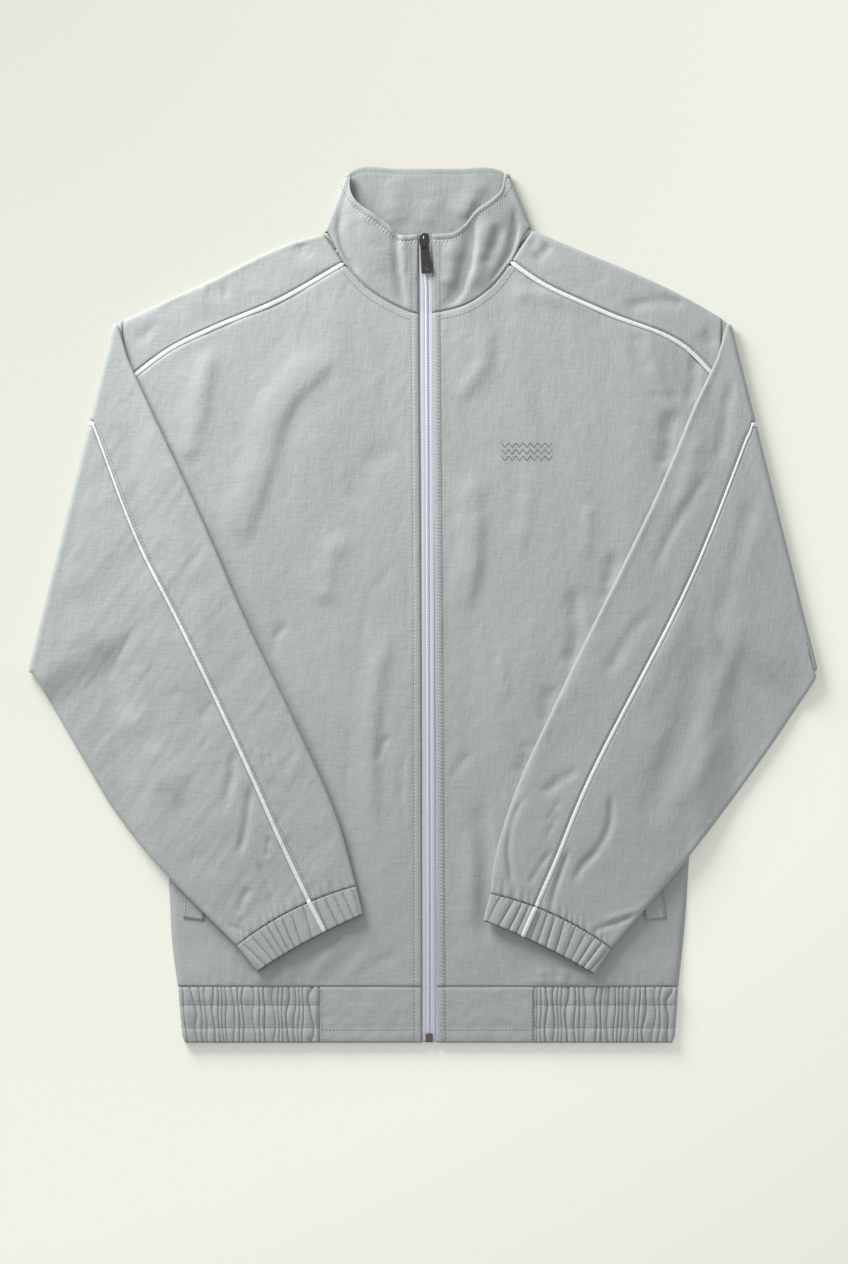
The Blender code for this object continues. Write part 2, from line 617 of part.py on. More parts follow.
def build_hem_elastic():
    """Gathered hem band: left front, left edge, all round the back, right edge, right front."""
    radius = (HEM_FRONT_MID - HEM_BACK_MID) / 2
    level = (HEM_FRONT_MID + HEM_BACK_MID) / 2
    left, right = LEFT.band[0] + WALL / 2 + radius, RIGHT.band[0] - WALL / 2 - radius
    points, push = [], []
    waves = round((LEFT.join - left) / GATHER)
    for k in range(2 * waves + 1):
        x = LEFT.join - 2 * SEAM + (left - LEFT.join) * k / (2 * waves)
        points.append((x, HEM_FRONT_MID, 0.0, 1.0))
        push.append(-0.75 * (-1) ** k)
    for angle in (60.0, 30.0, 0.0, -30.0, -60.0):
        c, s = math.cos(math.radians(angle)), math.sin(math.radians(angle))
        points.append((left - radius * c, level + radius * s, -c, s))
        push.append(0.0)
    count = round((right - left) / HEM_GATHER_BACK) * 2
    for k in range(count + 1):
        points.append((left + (right - left) * k / count, HEM_BACK_MID, 0.0, -1.0))
        push.append(0.6 * (-1) ** k)
    for angle in (-60.0, -30.0, 0.0, 30.0, 60.0):
        c, s = math.cos(math.radians(angle)), math.sin(math.radians(angle))
        points.append((right + radius * c, level + radius * s, c, s))
        push.append(0.0)
    waves = round((right - RIGHT.join) / GATHER)
    for k in range(2 * waves + 1):
        points.append((right + (RIGHT.join + 2 * SEAM - right) * k / (2 * waves), HEM_FRONT_MID, 0.0, 1.0))
        push.append(-0.75 * (-1) ** k)
    path, push = np.array(points), np.array(push)
    rows = []
    for y, share in ((HEM_SEAM - SEAM / 2, 0), (-347.0, 1), (HEM_BOTTOM, 2)):
        scale = np.where(path[:, 0] < 0, LEFT.band[share] / LEFT.band[0], RIGHT.band[share] / RIGHT.band[0])
        scale = 1.0 + (scale - 1.0) * ease((np.abs(path[:, 0]) - 100.0) / 100.0)
        x = path[:, 0] * scale + path[:, 2] * push
        rows.append(np.column_stack([x, np.full(len(x), y), path[:, 1] + path[:, 3] * push]))
    return wall("hem_elastic", np.array(rows))


def cuff_frame(half, v):
    """Ends of the cuff at a share of its height, the direction between them, and the one up the sleeve."""
    seam_top, seam_under, end_top, end_under = (np.asarray(p, float) for p in half.cuff)
    top = seam_top + (end_top - seam_top) * v
    under = seam_under + (end_under - seam_under) * v
    size = np.linalg.norm(under - top)
    run = (under - top) / size
    return top, under, run, np.array([-run[1], run[0]]) * half.sign, size


def build_cuff(half):
    """Gathered cuff: a closed band from the cuff seam to the cuff's end."""
    rows = []
    for v in (0.0, 0.5, 1.0):
        top, under, run, up, size = cuff_frame(half, v)
        if v == 0.0:
            top, under = top - up * SEAM * 2.5, under - up * SEAM * 2.5
        bow = (CUFF_SEAM_BOW + (CUFF_END_BOW - CUFF_SEAM_BOW) * v) * 4
        radius = CUFF_GAP / 2
        row = []
        for layer in (1, 0):
            total = CUFF_GATHERS * 2
            for k in range(total + 1):
                share = k / total if layer else 1.0 - k / total
                reach = (radius + WALL / 2 + (size - 2 * radius - WALL) * share) / size
                plan = top + run * size * reach + up * bow * reach * (1.0 - reach)
                rest = float(support(half, plan[0], plan[1])) + SLEEVE_LIFT + 0.3
                push = (0.75 if layer else 0.5) * (-1) ** k
                row.append((plan[0], plan[1], rest + CUFF_GAP * layer + push))
            sense = 1 if layer else -1
            edge = under if layer else top
            for angle in (50.0, 0.0, -50.0):
                c, s = math.cos(math.radians(angle)), math.sin(math.radians(angle))
                plan = edge - sense * run * (radius * (1 - c) + WALL / 2)
                rest = float(support(half, plan[0], plan[1])) + SLEEVE_LIFT + 0.3
                row.append((plan[0], plan[1], rest + radius * (1 + sense * s)))
        rows.append(row)
    return wall(f"cuff_{half.name}", np.array(rows), wrap=True)


def build_cuff_piping(half):
    """End of the back piping, sewn over the gathered cuff."""
    start, end = (np.asarray(p, float) for p in half.cuff_piping)
    plan = start + (end - start) * np.array([0.06, 0.36, 0.68, 0.98])[:, None]
    lift = SLEEVE_LIFT + CUFF_GAP + 0.3 + 0.75 + WALL / 2 + SEAM + 0.7
    centres = np.column_stack([plan, support(half, plan[:, 0], plan[:, 1]) + lift])
    run = cuff_frame(half, 0.5)[2]
    across = np.tile([run[0], run[1], 0.0], (4, 1))
    return cord(f"cuff_piping_{half.name}", centres, across, (0.9, 0.91, 0.93), PIPING_HALF, 0.7)


def zip_level(y):
    """Height of the middle of the cloth edges beside the zip."""
    y = np.asarray(y, float)
    x = np.interp(y, [p[1] for p in ZIP_LINE], [p[0] for p in ZIP_LINE])
    body = front_mid(LEFT, x, np.minimum(y, NECK_Y))
    share = np.clip((y - NECK_Y) / (COLLAR_Y - NECK_Y), 0.0, 1.0)
    collar = BODY_MID + (COLLAR_FRONT_MID - BODY_MID) * (0.7 * share + 0.3 * np.sin(np.pi * share / 2))
    return np.where(y > NECK_Y, collar, np.where(y < HEM_SEAM, HEM_MID - 0.1, body))


def build_tape(half):
    """Zip tape from the hem to the collar's top edge, under the cloth edge of its side."""
    y = np.concatenate([np.linspace(HEM_BOTTOM + 0.5, NECK_Y, 20), np.linspace(NECK_Y, COLLAR_Y - 4.5, 7)[1:]])
    middle = np.interp(y, [p[1] for p in ZIP_LINE], [p[0] for p in ZIP_LINE])
    z = zip_level(y) - WALL - SEAM - 0.1
    grid = [np.column_stack([middle + half.sign * reach, y, z]) for reach in (0.2, TAPE / 2, TAPE)]
    return wall(f"zip_tape_{half.name}", np.array(grid), (0.74, 0.75, 0.82), 1.0, roughness=0.7)


def prism(outline, low, high):
    """Points and faces of an outline in (y, z), pushed along x."""
    count = len(outline)
    points = [(low, y, z) for y, z in outline] + [(high, y, z) for y, z in outline]
    faces = [list(range(count))[::-1], list(range(count, 2 * count))]
    faces += [[k, (k + 1) % count, count + (k + 1) % count, count + k] for k in range(count)]
    return np.array(points, float), faces


def placed(points, tilt, turn, origin):
    """Points turned about x by tilt, about z by turn, then moved."""
    ct, st = math.cos(math.radians(tilt)), math.sin(math.radians(tilt))
    cz, sz = math.cos(math.radians(turn)), math.sin(math.radians(turn))
    about_z = np.array([[cz, -sz, 0], [sz, cz, 0], [0, 0, 1]])
    about_x = np.array([[1, 0, 0], [0, ct, -st], [0, st, ct]])
    return np.asarray(points) @ about_z.T @ about_x.T + np.asarray(origin)


def join_with(target, tool, operation):
    """Boolean of two objects, applied, with the second removed."""
    change = target.modifiers.new("join", "BOOLEAN")
    change.operation = operation
    change.solver = "EXACT"
    change.object = tool
    graph = bpy.context.evaluated_depsgraph_get()
    mesh = bpy.data.meshes.new_from_object(target.evaluated_get(graph))
    target.modifiers.remove(change)
    target.data = mesh
    bpy.data.objects.remove(tool, do_unlink=True)


SLIDER_AT = (1.1, 309.3)
SLIDER_TILT = 4.2
SLIDER_LONG, SLIDER_WIDE, SLIDER_PLATE = 13.4, 8.8, 1.4
BRIDGE_WIDE, BRIDGE_HOLE, BRIDGE_BAR = 2.4, 2.5, 1.1
PULL_TURN = 6.0
PULL_THICK = 1.3
PULL_LONG, PULL_TOP, PULL_END = 25.0, 6.6, 9.8
PULL_HOLE = 1.25
METAL = (0.045, 0.045, 0.05)


def slider_origin():
    """Middle of the slider, on the top face of the tapes."""
    return (SLIDER_AT[0], SLIDER_AT[1], float(zip_level(SLIDER_AT[1])) - WALL - SEAM - 0.1 + 0.5)


def build_slider():
    """Zip slider: two plates round the tapes, joined at the top end, and a bridge over the upper one."""
    half_long = SLIDER_LONG / 2
    top = SEAM + SLIDER_PLATE
    low = -1.0 - SEAM - 1.1
    outline = [
        (-half_long, SEAM), (half_long - 3.2, SEAM), (half_long - 3.2, -1.0 - SEAM), (-half_long + 1.5, -1.0 - SEAM),
        (-half_long + 1.5, low), (half_long - 0.4, low), (half_long, low + 0.6), (half_long, top - 0.5),
        (half_long - 0.5, top), (-half_long + 0.5, top), (-half_long, top - 0.5),
    ]
    points, faces = prism(outline, -SLIDER_WIDE / 2, SLIDER_WIDE / 2)
    narrow = 1.0 - 0.22 * np.clip(-points[:, 1] / half_long, 0.0, 1.0)
    points[:, 0] *= narrow
    origin = slider_origin()
    body = add_object("zip_slider", placed(points, SLIDER_TILT, 0, origin), faces, METAL, 0.25, 1.0, smooth=False)
    roof = top + BRIDGE_HOLE + BRIDGE_BAR
    reach = half_long - 1.0
    bridge = [(-reach, top - 0.5), (-reach, roof - 1.0), (-reach + 1.3, roof), (reach - 1.6, roof), (reach, roof - 1.4)]
    bridge += [(reach, top - 0.5), (reach - 3.4, top - 0.5), (reach - 3.4, top + BRIDGE_HOLE)]
    bridge += [(-reach + 1.2, top + BRIDGE_HOLE), (-reach + 1.2, top - 0.5)]
    points, faces = prism(bridge, -BRIDGE_WIDE / 2, BRIDGE_WIDE / 2)
    arch = add_object("bridge", placed(points, SLIDER_TILT, 0, origin), faces, METAL, 0.25, 1.0, smooth=False)
    join_with(body, arch, "UNION")
    return body


def build_pull():
    """Pull tab: a tapered plate with a slot at one end that holds the bridge, and a small hole at the other."""
    bar = 1.3
    slot = 3.4
    top_half, end_half = PULL_TOP / 2, PULL_END / 2
    slot_half = BRIDGE_WIDE / 2 + 0.75
    outer = [
        (-top_half + 0.6, bar / 2), (top_half - 0.6, bar / 2), (top_half, bar / 2 - 0.6),
        (end_half, -PULL_LONG + 1.0), (end_half - 1.0, -PULL_LONG), (-end_half + 1.0, -PULL_LONG),
        (-end_half, -PULL_LONG + 1.0), (-top_half, bar / 2 - 0.6),
    ]
    height = PULL_THICK / 2
    count = len(outer)
    points = [(x, y, -height) for x, y in outer] + [(x, y, height) for x, y in outer]
    faces = [list(range(count)), list(range(count, 2 * count))[::-1]]
    faces += [[k, count + k, count + (k + 1) % count, (k + 1) % count] for k in range(count)]
    at = placed([(0.0, -2.6, SEAM + SLIDER_PLATE + BRIDGE_HOLE / 2)], SLIDER_TILT, 0, slider_origin())[0]
    body = add_object("zip_pull", placed(points, SLIDER_TILT, PULL_TURN, at), faces, METAL, 0.3, 1.0, smooth=False)
    box = [(x, y, z) for z in (-3.0, 3.0) for x, y in (
        (-slot_half, -bar / 2), (slot_half, -bar / 2), (slot_half, -bar / 2 - slot), (-slot_half, -bar / 2 - slot)
    )]
    quads = [[0, 1, 2, 3], [7, 6, 5, 4], [0, 4, 5, 1], [1, 5, 6, 2], [2, 6, 7, 3], [3, 7, 4, 0]]
    cut = add_object("slot", placed(box, SLIDER_TILT, PULL_TURN, at), quads, METAL, smooth=False)
    join_with(body, cut, "DIFFERENCE")
    sides = 12
    turns = [2 * math.pi * k / sides for k in range(sides)]
    ring = [(math.cos(turn) * PULL_HOLE, math.sin(turn) * PULL_HOLE) for turn in turns]
    points = [(x, y - PULL_LONG + 4.2, z) for z in (-3.0, 3.0) for x, y in ring]
    faces = [list(range(sides)), list(range(sides, 2 * sides))[::-1]]
    faces += [[k, sides + k, sides + (k + 1) % sides, (k + 1) % sides] for k in range(sides)]
    cut = add_object("hole", placed(points, SLIDER_TILT, PULL_TURN, at), faces, METAL, smooth=False)
    join_with(body, cut, "DIFFERENCE")
    return body


def build_stop():
    """Metal box at the lower end of the zip."""
    x, y, z = 5.2, -367.6, float(zip_level(-367.0)) - WALL - SEAM - 0.1 + 0.5 + SEAM
    wide, long, high = 3.0, 3.9, 1.6
    soft = 0.4
    outline = [(-long, 0.0), (long, 0.0), (long, high - soft), (long - soft, high)]
    outline += [(-long + soft, high), (-long, high - soft)]
    points, faces = prism(outline, -wide, wide)
    return add_object("zip_stop", placed(points, 0, 0, (x, y, z)), faces, (0.2, 0.16, 0.12), 0.35, 1.0, smooth=False)


def build_welt(half):
    """Pocket welt, made from the front's points, moved out."""
    low_out, low_in, high_out, high_in = (np.asarray(p, float) for p in half.welt)
    v = np.linspace(0, 1, 8)[:, None, None]
    u = np.linspace(0, 1, 3)[None, :, None]
    low = low_out + (low_in - low_out) * u
    high = high_out + (high_in - high_out) * u
    plan = low + (high - low) * v
    grid = lay(half, plan)
    grid += grid_normals(grid) * np.sign(grid_normals(grid)[..., 2:]) * (WALL / 2 + SEAM + 0.5)
    return wall(f"welt_{half.name}", grid, thick=1.0)


def main():
    clear_scene()
    build_back()
    for half in (LEFT, RIGHT):
        build_front(half)
        build_shoulder_and_sleeve(half)
        build_cuff(half)
        build_cuff_piping(half)
        build_hem_plain(half)
        build_tape(half)
        build_welt(half)
    build_collar()
    build_hem_elastic()
    build_slider()
    build_pull()
    build_stop()


main()
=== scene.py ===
"""Dressed track jacket: crinkled nylon panels, satin piping, elastic cuffs and hem, coil zip and stitching.

Sizes are in millimetres in the CAD part's own frame: x across the garment, y towards the collar, z up from
the surface it lies on. Places read off the photograph are in its pixels and pass through from_photo().
"""

import logging
from dataclasses import dataclass, field
from enum import Enum

import bpy
import numpy as np
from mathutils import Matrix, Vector
from mathutils.bvhtree import BVHTree


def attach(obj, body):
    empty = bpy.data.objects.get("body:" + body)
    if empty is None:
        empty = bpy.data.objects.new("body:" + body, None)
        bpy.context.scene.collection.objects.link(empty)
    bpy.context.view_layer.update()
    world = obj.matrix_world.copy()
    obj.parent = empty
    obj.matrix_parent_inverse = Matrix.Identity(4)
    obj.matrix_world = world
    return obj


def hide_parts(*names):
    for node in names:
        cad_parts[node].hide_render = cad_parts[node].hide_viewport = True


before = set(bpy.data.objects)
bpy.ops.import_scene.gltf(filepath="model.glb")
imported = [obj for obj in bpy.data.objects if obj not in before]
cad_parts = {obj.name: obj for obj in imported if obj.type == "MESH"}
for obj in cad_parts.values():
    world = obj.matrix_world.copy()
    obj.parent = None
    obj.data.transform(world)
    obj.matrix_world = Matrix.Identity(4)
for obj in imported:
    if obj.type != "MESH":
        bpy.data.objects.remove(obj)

Socket = bpy.types.NodeSocket
Number = float | np.ndarray  # one number, or one for each point
Line = tuple | list | np.ndarray  # points of a line

LOG = logging.getLogger("track_jacket")
MM = 0.001
PIXEL = 0.85  # mm a pixel of the photograph
PHOTO_ZERO = (423.0, 605.5)  # pixel at x 0, y 0
PHOTO_SIZE = (848, 1264)

WALL = 1.2  # full thickness of the cloth
SEAM = 0.3  # gap between pieces that lie on each other
JOIN = 0.06  # gap between two pieces at a seam, in plan
SEAM_EDGE = 0.35  # thickness left at the very edge of a panel, so that a seam reads as a groove
SEAM_ROUND = 0.8  # width of the rounded edge
BACK_MID = 0.6  # height of the middle of the wall: the back panel
ARMHOLE_MID, BODY_MID = 3.0, 5.2  # the front, at the armhole and inside it
HEM_MID, HEM_SIDE_MID = 5.0, 4.2  # the front at the hem, and there beside the side seam
HEM_FRONT_MID, HEM_BACK_MID = 4.6, 1.2  # the gathered band
COLLAR_FRONT_MID = 11.0  # the collar's front at its top edge
RISE = 70.0  # width over which the front rises from the armhole
SIDE_ROLL, SIDE_EDGE_MID = 6.0, 0.4  # radius of the front's roll at the side seam, height of the roll's edge
EDGE_ROLL = 3.4  # radius of a flattened tube's edge
FOLD_CENTRE = 4.4  # height of the axis round which a sleeve is folded over
SLEEVE_LIFT, BODY_LIFT = 2.8, 3.4  # a sleeve's lower layer over what it lies on, and over the body
SLEEVE_GAP, SLEEVE_PUFF, CUFF_GAP = 2.4, 4.0, 3.4  # between its layers: at the fold, further in, at the cuff
DROP = 35.0  # width over which a sleeve comes down from the body to the surface
PIPING_HALF, PIPING_THICK = 2.0, 1.0  # half width and half thickness
PIPING_SLOT = 2.1  # half of the gap that a piping sits in
FRONT_SHARE = 0.36  # where the front piping meets the cuff, as a share of the way across the sleeve
HEM_SEAM, HEM_BOTTOM = -324.3, -371.9
NECK_Y, COLLAR_Y = 249.0, 315.0  # ends of the collar's front edge
CUFF_SEAM_BOW, CUFF_END_BOW = 6.0, 2.4
TAPE, TAPE_THICK = 14.0, 1.0
TAPE_SINK = WALL + SEAM + 0.1  # middle of a tape below the middle of the cloth beside it
STITCH_PITCH = 3.0
STITCH_IN = 6.4  # stitch row from the zip edge
NO_SEAM = 50.0  # distance written where no stitch row is near
CREASE_DEPTH = 1.4  # what the creases' heights are multiplied by
VALLEY_BEND = 0.22  # curvature (1/mm) of a valley that loses most light
GATHER_DIMNESS = 0.32  # share of light lost there in gathered bands
SEAM_DIMNESS = 0.2  # share of light lost at a border
TINY = 1e-9  # keeps a length from being divided by nought


@dataclass(frozen=True)
class Half:
    """Named plan lines of one half of the garment, each a list of (x, y)."""

    name: str
    sign: int  # of its x
    zip_edge: tuple
    neck: tuple
    shoulder: tuple
    front_piping: tuple
    back_piping: tuple
    side: tuple
    tip: tuple  # the upper end of the sleeve's fold
    elbow: tuple  # and its lower end
    inner: tuple  # the folded sleeve's edge on the body
    outer: tuple
    sleeve_piping: tuple
    cuff: tuple  # seam and end, each at the shoulder's fold and at the underarm
    cuff_piping: tuple
    collar_top: tuple
    join: float  # x at which the hem's plain band meets the gathered one
    band: tuple  # x of the gathered band's edge at its top, middle and bottom
    welt: tuple  # low and high end, each outside and inside


LEFT = Half(
    name="left",
    sign=-1,
    zip_edge=((-1.1, -372.0), (-2.0, 0.0), (-3.9, 249.0), (-3.9, 315.0)),
    neck=((-3.9, 247.8), (-8.5, 248.8), (-23.8, 255.4), (-45.0, 268.2), (-67.2, 290.7)),
    shoulder=((-84.5, 316.5), (-106.3, 310.9), (-184.0, 275.5), (-256.0, 242.8)),
    front_piping=((-67.2, 290.7), (-121.6, 259.7), (-180.2, 235.0), (-213.4, 218.9), (-252.8, 190.0)),
    back_piping=((-70.0, 303.0), (-165.0, 250.0), (-252.3, 182.0)),
    side=((-240.6, -10.6), (-216.8, -233.0), (-213.4, -292.8), (-209.2, -324.3)),
    tip=(-263.5, 240.5),
    elbow=(-336.6, -59.0),
    inner=(
        (-263.5, 240.5), (-244.8, 195.5), (-231.2, 166.2), (-201.5, 103.3), (-172.6, 38.7),
        (-158.1, 4.7), (-104.6, -108.4), (-72.3, -182.3), (-56.5, -238.0),
    ),
    outer=((-336.6, -59.0), (-229.5, -216.3), (-218.5, -228.2), (-158.1, -288.6)),
    sleeve_piping=((-282.2, 159.4), (-234.6, 38.7), (-216.8, 4.7), (-112.2, -216.3), (-93.0, -258.0)),
    cuff=((-56.5, -238.0), (-158.1, -288.6), (-51.0, -262.2), (-140.3, -310.7)),
    cuff_piping=((-96.1, -252.0), (-83.3, -276.7)),
    collar_top=(
        (-3.9, 315.0), (-20.5, 315.0), (-27.5, 321.8), (-41.5, 332.2),
        (-57.5, 344.5), (-64.5, 356.5), (-65.8, 367.5),
    ),
    join=-87.6,
    band=(-208.4, -206.6, -204.2),
    welt=((-204.0, -265.6), (-186.2, -268.0), (-199.0, -115.0), (-181.0, -117.0)),
)
RIGHT = Half(
    name="right",
    sign=1,
    zip_edge=((12.5, -372.0), (10.0, 0.0), (7.8, 249.0), (7.8, 315.0)),
    neck=((7.8, 248.6), (15.3, 249.8), (40.0, 257.4), (57.0, 269.9), (74.8, 292.0)),
    shoulder=((93.0, 319.5), (112.0, 311.3), (227.0, 260.2), (255.0, 244.0)),
    front_piping=((74.8, 292.0), (95.2, 277.5), (153.9, 249.5), (224.4, 218.9), (252.2, 191.0)),
    back_piping=((79.0, 304.0), (165.0, 250.0), (251.8, 182.0)),
    side=((242.0, -14.0), (227.0, -216.3), (223.6, -267.3), (218.0, -324.3)),
    tip=(262.3, 240.0),
    elbow=(336.6, -57.4),
    inner=(
        (262.3, 240.0), (244.8, 199.3), (232.0, 173.0), (212.5, 126.2), (196.4, 89.7),
        (171.7, 38.7), (116.5, -73.5), (69.7, -182.3), (58.7, -225.7), (57.0, -244.4),
    ),
    outer=((336.6, -57.4), (332.4, -64.2), (223.6, -216.3), (159.8, -291.1)),
    sleeve_piping=((282.2, 160.2), (234.6, 38.7), (125.8, -182.3), (116.5, -205.3), (92.0, -264.0)),
    cuff=((57.0, -244.4), (159.8, -291.1), (51.0, -267.3), (145.4, -313.0)),
    cuff_piping=((94.4, -258.0), (84.2, -281.0)),
    collar_top=(
        (7.8, 315.0), (14.0, 315.4), (27.0, 317.2), (34.4, 322.6),
        (45.5, 335.8), (56.8, 344.0), (69.5, 355.5), (73.2, 367.0),
    ),
    join=94.4,
    band=(217.2, 216.0, 213.8),
    welt=((206.6, -266.0), (188.7, -267.6), (189.5, -115.0), (171.5, -117.0)),
)
HALVES = (LEFT, RIGHT)
BACK_NECK = ((-70.0, 303.0), (-40.0, 294.5), (4.0, 291.0), (48.0, 295.0), (79.0, 304.0))
COLLAR_BACK_TOP = (
    (-65.8, 367.5), (-58.0, 371.6), (-20.0, 371.8), (30.0, 371.9), (64.0, 371.2), (73.2, 367.0),
)
ZIP_LINE = ((4.8, -372.0), (4.6, -200.0), (3.8, 120.0), (3.1, 268.0), (1.3, 315.0))


def from_photo(points: Line) -> np.ndarray:
    """Plan points in mm of points in the photograph's pixels."""
    points = np.asarray(points, float)
    return np.column_stack([points[:, 0] - PHOTO_ZERO[0], PHOTO_ZERO[1] - points[:, 1]]) * PIXEL


def ease(t: Number) -> np.ndarray:
    """Smooth step from 0 to 1."""
    t = np.clip(t, 0.0, 1.0)
    return t * t * (3.0 - 2.0 * t)


def quarter(distance: Number, radius: Number) -> np.ndarray:
    """Height of a quarter round: 0 at its edge, 1 from a radius on."""
    return np.sqrt(1.0 - (1.0 - np.clip(distance / radius, 0.0, 1.0)) ** 2)


def bell(distance: Number, width: float) -> np.ndarray:
    """1 at distance 0, falling off to either side."""
    return np.exp(-((distance / width) ** 2))


def summed(steps: np.ndarray) -> np.ndarray:
    """Running total of steps, from 0."""
    return np.concatenate([[0.0], np.cumsum(steps)])


def curved(line: Line, per_span: int = 12) -> np.ndarray:
    """A smooth curve through the points of a line, its slopes weighed by the spans beside each point.

    Args:
        line: Points, two or three numbers each.
        per_span: Points made for each span.

    Returns:
        The curve's points, the line's own ones among them.
    """
    line = np.asarray(line, float)
    span = np.linalg.norm(np.diff(line, axis=0), axis=1)[:, None]
    slope = np.diff(line, axis=0) / span
    middle = (span[1:] * slope[:-1] + span[:-1] * slope[1:]) / (span[:-1] + span[1:])
    tangent = np.concatenate([slope[:1], middle, slope[-1:]])
    t = np.linspace(0, 1, per_span, endpoint=False)[None, :, None]
    one, two, size = line[:-1, None], line[1:, None], span[:, None]
    made = (1 + 2 * t) * (1 - t) ** 2 * one + t * (1 - t) ** 2 * size * tangent[:-1, None]
    made = made + t**2 * (3 - 2 * t) * two + t**2 * (t - 1) * size * tangent[1:, None]
    return np.concatenate([made.reshape(-1, line.shape[1]), line[-1:]])


def lengths(line: Line) -> np.ndarray:
    """Length along a line up to each of its points."""
    return summed(np.linalg.norm(np.diff(np.asarray(line, float), axis=0), axis=1))


def along(line: Line, shares: Line) -> np.ndarray:
    """Points of a line at shares of its length.

    Args:
        line: The line's points.
        shares: From 0 to 1.

    Returns:
        A point for each share.
    """
    line = np.asarray(line, float)
    steps = lengths(line)
    at = np.asarray(shares, float) * steps[-1]
    return np.stack([np.interp(at, steps, line[:, k]) for k in range(line.shape[1])], axis=-1)


def spaced(line: Line, pitch: float) -> np.ndarray:
    """Points of a line at an even pitch."""
    count = max(int(round(lengths(line)[-1] / pitch)), 2)
    return along(line, np.linspace(0, 1, count + 1))


def aside(line: Line, distance: float) -> np.ndarray:
    """A plan line moved sideways.

    Args:
        line: Its plan points.
        distance: How far, to the left of its direction.

    Returns:
        The moved points.
    """
    line = np.asarray(line, float)
    heading = np.gradient(line, axis=0)
    heading /= np.linalg.norm(heading, axis=1, keepdims=True)
    return line + distance * np.stack([-heading[:, 1], heading[:, 0]], axis=-1)


def crossing_share(start: Line, end: Line, line: Line) -> float:
    """Where a straight way crosses a plan line.

    Args:
        start: Where the way starts.
        end: Where it ends.
        line: The line's plan points.

    Returns:
        The share of the way at the crossing.
    """
    start, end, line = np.asarray(start), np.asarray(end), np.asarray(line, float)
    run = end - start
    side = run[0] * (line[:, 1] - start[1]) - run[1] * (line[:, 0] - start[0])
    turns = np.nonzero(side[:-1] * side[1:] <= 0)[0]
    k = turns[0] if len(turns) else int(np.clip(np.argmin(np.abs(side)), 0, len(line) - 2))
    share = np.clip(side[k] / (side[k] - side[k + 1]), 0.0, 1.0) if side[k] != side[k + 1] else 0.0
    point = line[k] + (line[k + 1] - line[k]) * share
    return float(np.dot(point - start, run) / np.dot(run, run))


def noise(x: Number, y: Number, seed: int, size: tuple) -> np.ndarray:
    """Smooth value noise from -1 to 1: random values on a lattice, eased between its points.

    Args:
        x, y: Plan coordinates of each point.
        seed: Which lattice.
        size: Lattice spacing (across, along).

    Returns:
        The value at each point.
    """
    table = np.random.default_rng(seed).uniform(-1, 1, (64, 64))
    px, py = np.asarray(x) / size[0], np.asarray(y) / size[1]
    ix, iy = np.floor(px).astype(int), np.floor(py).astype(int)
    fx, fy = ease(px - ix), ease(py - iy)
    low = table[ix % 64, iy % 64] * (1 - fx) + table[(ix + 1) % 64, iy % 64] * fx
    high = table[ix % 64, (iy + 1) % 64] * (1 - fx) + table[(ix + 1) % 64, (iy + 1) % 64] * fx
    return low * (1 - fy) + high * fy


def crinkles(x: Number, y: Number, rows: tuple) -> np.ndarray:
    """A sum of noises.

    Args:
        x, y: Plan coordinates of each point.
        rows: For each noise its height, its slant (share of y added to x), its seed and its lattice spacing.

    Returns:
        The height at each point.
    """
    return sum(height * noise(x + slant * y, y, seed, size) for height, slant, seed, size in rows)


@dataclass(frozen=True)
class Crease:
    """A fold in the cloth: a trough where its height is below nought, a ridge above."""

    route: tuple  # pixels of the photograph
    width: float  # half width, px
    height: float  # mm
    lean: float = 0.0  # share by which the side to the right of the route is steeper

    def heights(self, x: np.ndarray, y: np.ndarray) -> np.ndarray:
        """Bell across the route, faded at both ends, uneven along it.

        Args:
            x, y: Plan coordinates of each point.

        Returns:
            The crease's height at each point.
        """
        line = curved(from_photo(self.route), 6)
        steps = lengths(line)
        reach = 3.2 * self.width * PIXEL * (1.0 + abs(self.lean))
        total = np.zeros(x.shape)
        low, high = line.min(axis=0) - reach, line.max(axis=0) + reach
        near = (x > low[0]) & (x < high[0]) & (y > low[1]) & (y < high[1])
        if not near.any():
            return total
        point = np.stack([x[near], y[near]], axis=-1)[:, None]
        run = np.diff(line, axis=0)
        size = np.linalg.norm(run, axis=1)
        share = np.clip(np.sum((point - line[:-1]) * run, axis=2) / size**2, 0.0, 1.0)
        gap = point - (line[:-1] + share[..., None] * run)
        distance = np.linalg.norm(gap, axis=2)
        best = np.argmin(distance, axis=1)
        rows = np.arange(len(best))
        side = np.sign(gap[rows, best, 0] * run[best, 1] - gap[rows, best, 1] * run[best, 0])
        place = (steps[best] + share[rows, best] * size[best]) / steps[-1]
        width = self.width * PIXEL * (1.0 - self.lean * side)
        first_x, first_y = self.route[0]
        uneven = 1.0 + 0.22 * np.sin(place * 9.0 + first_x) + 0.12 * np.sin(place * 23.0 + first_y)
        faded = 0.22  # share of the route at either end
        ends = ease(place / faded) * ease((1.0 - place) / faded)
        total[near] = self.height * uneven * ends * bell(distance[rows, best], width)
        return total


def fold(creases: tuple, x: np.ndarray, y: np.ndarray) -> np.ndarray:
    """Height of several creases at each point.

    Args:
        creases: The creases.
        x, y: Plan coordinates of each point.

    Returns:
        The sum of their heights.
    """
    total = np.zeros(np.shape(x))
    for crease in creases:
        total = total + CREASE_DEPTH * crease.heights(x, y)
    return total


def at_height(line: Line, y: Number) -> np.ndarray:
    """X of a line that runs up the garment, at each height."""
    line = np.asarray(line, float)
    return np.interp(y, line[:, 1], line[:, 0])


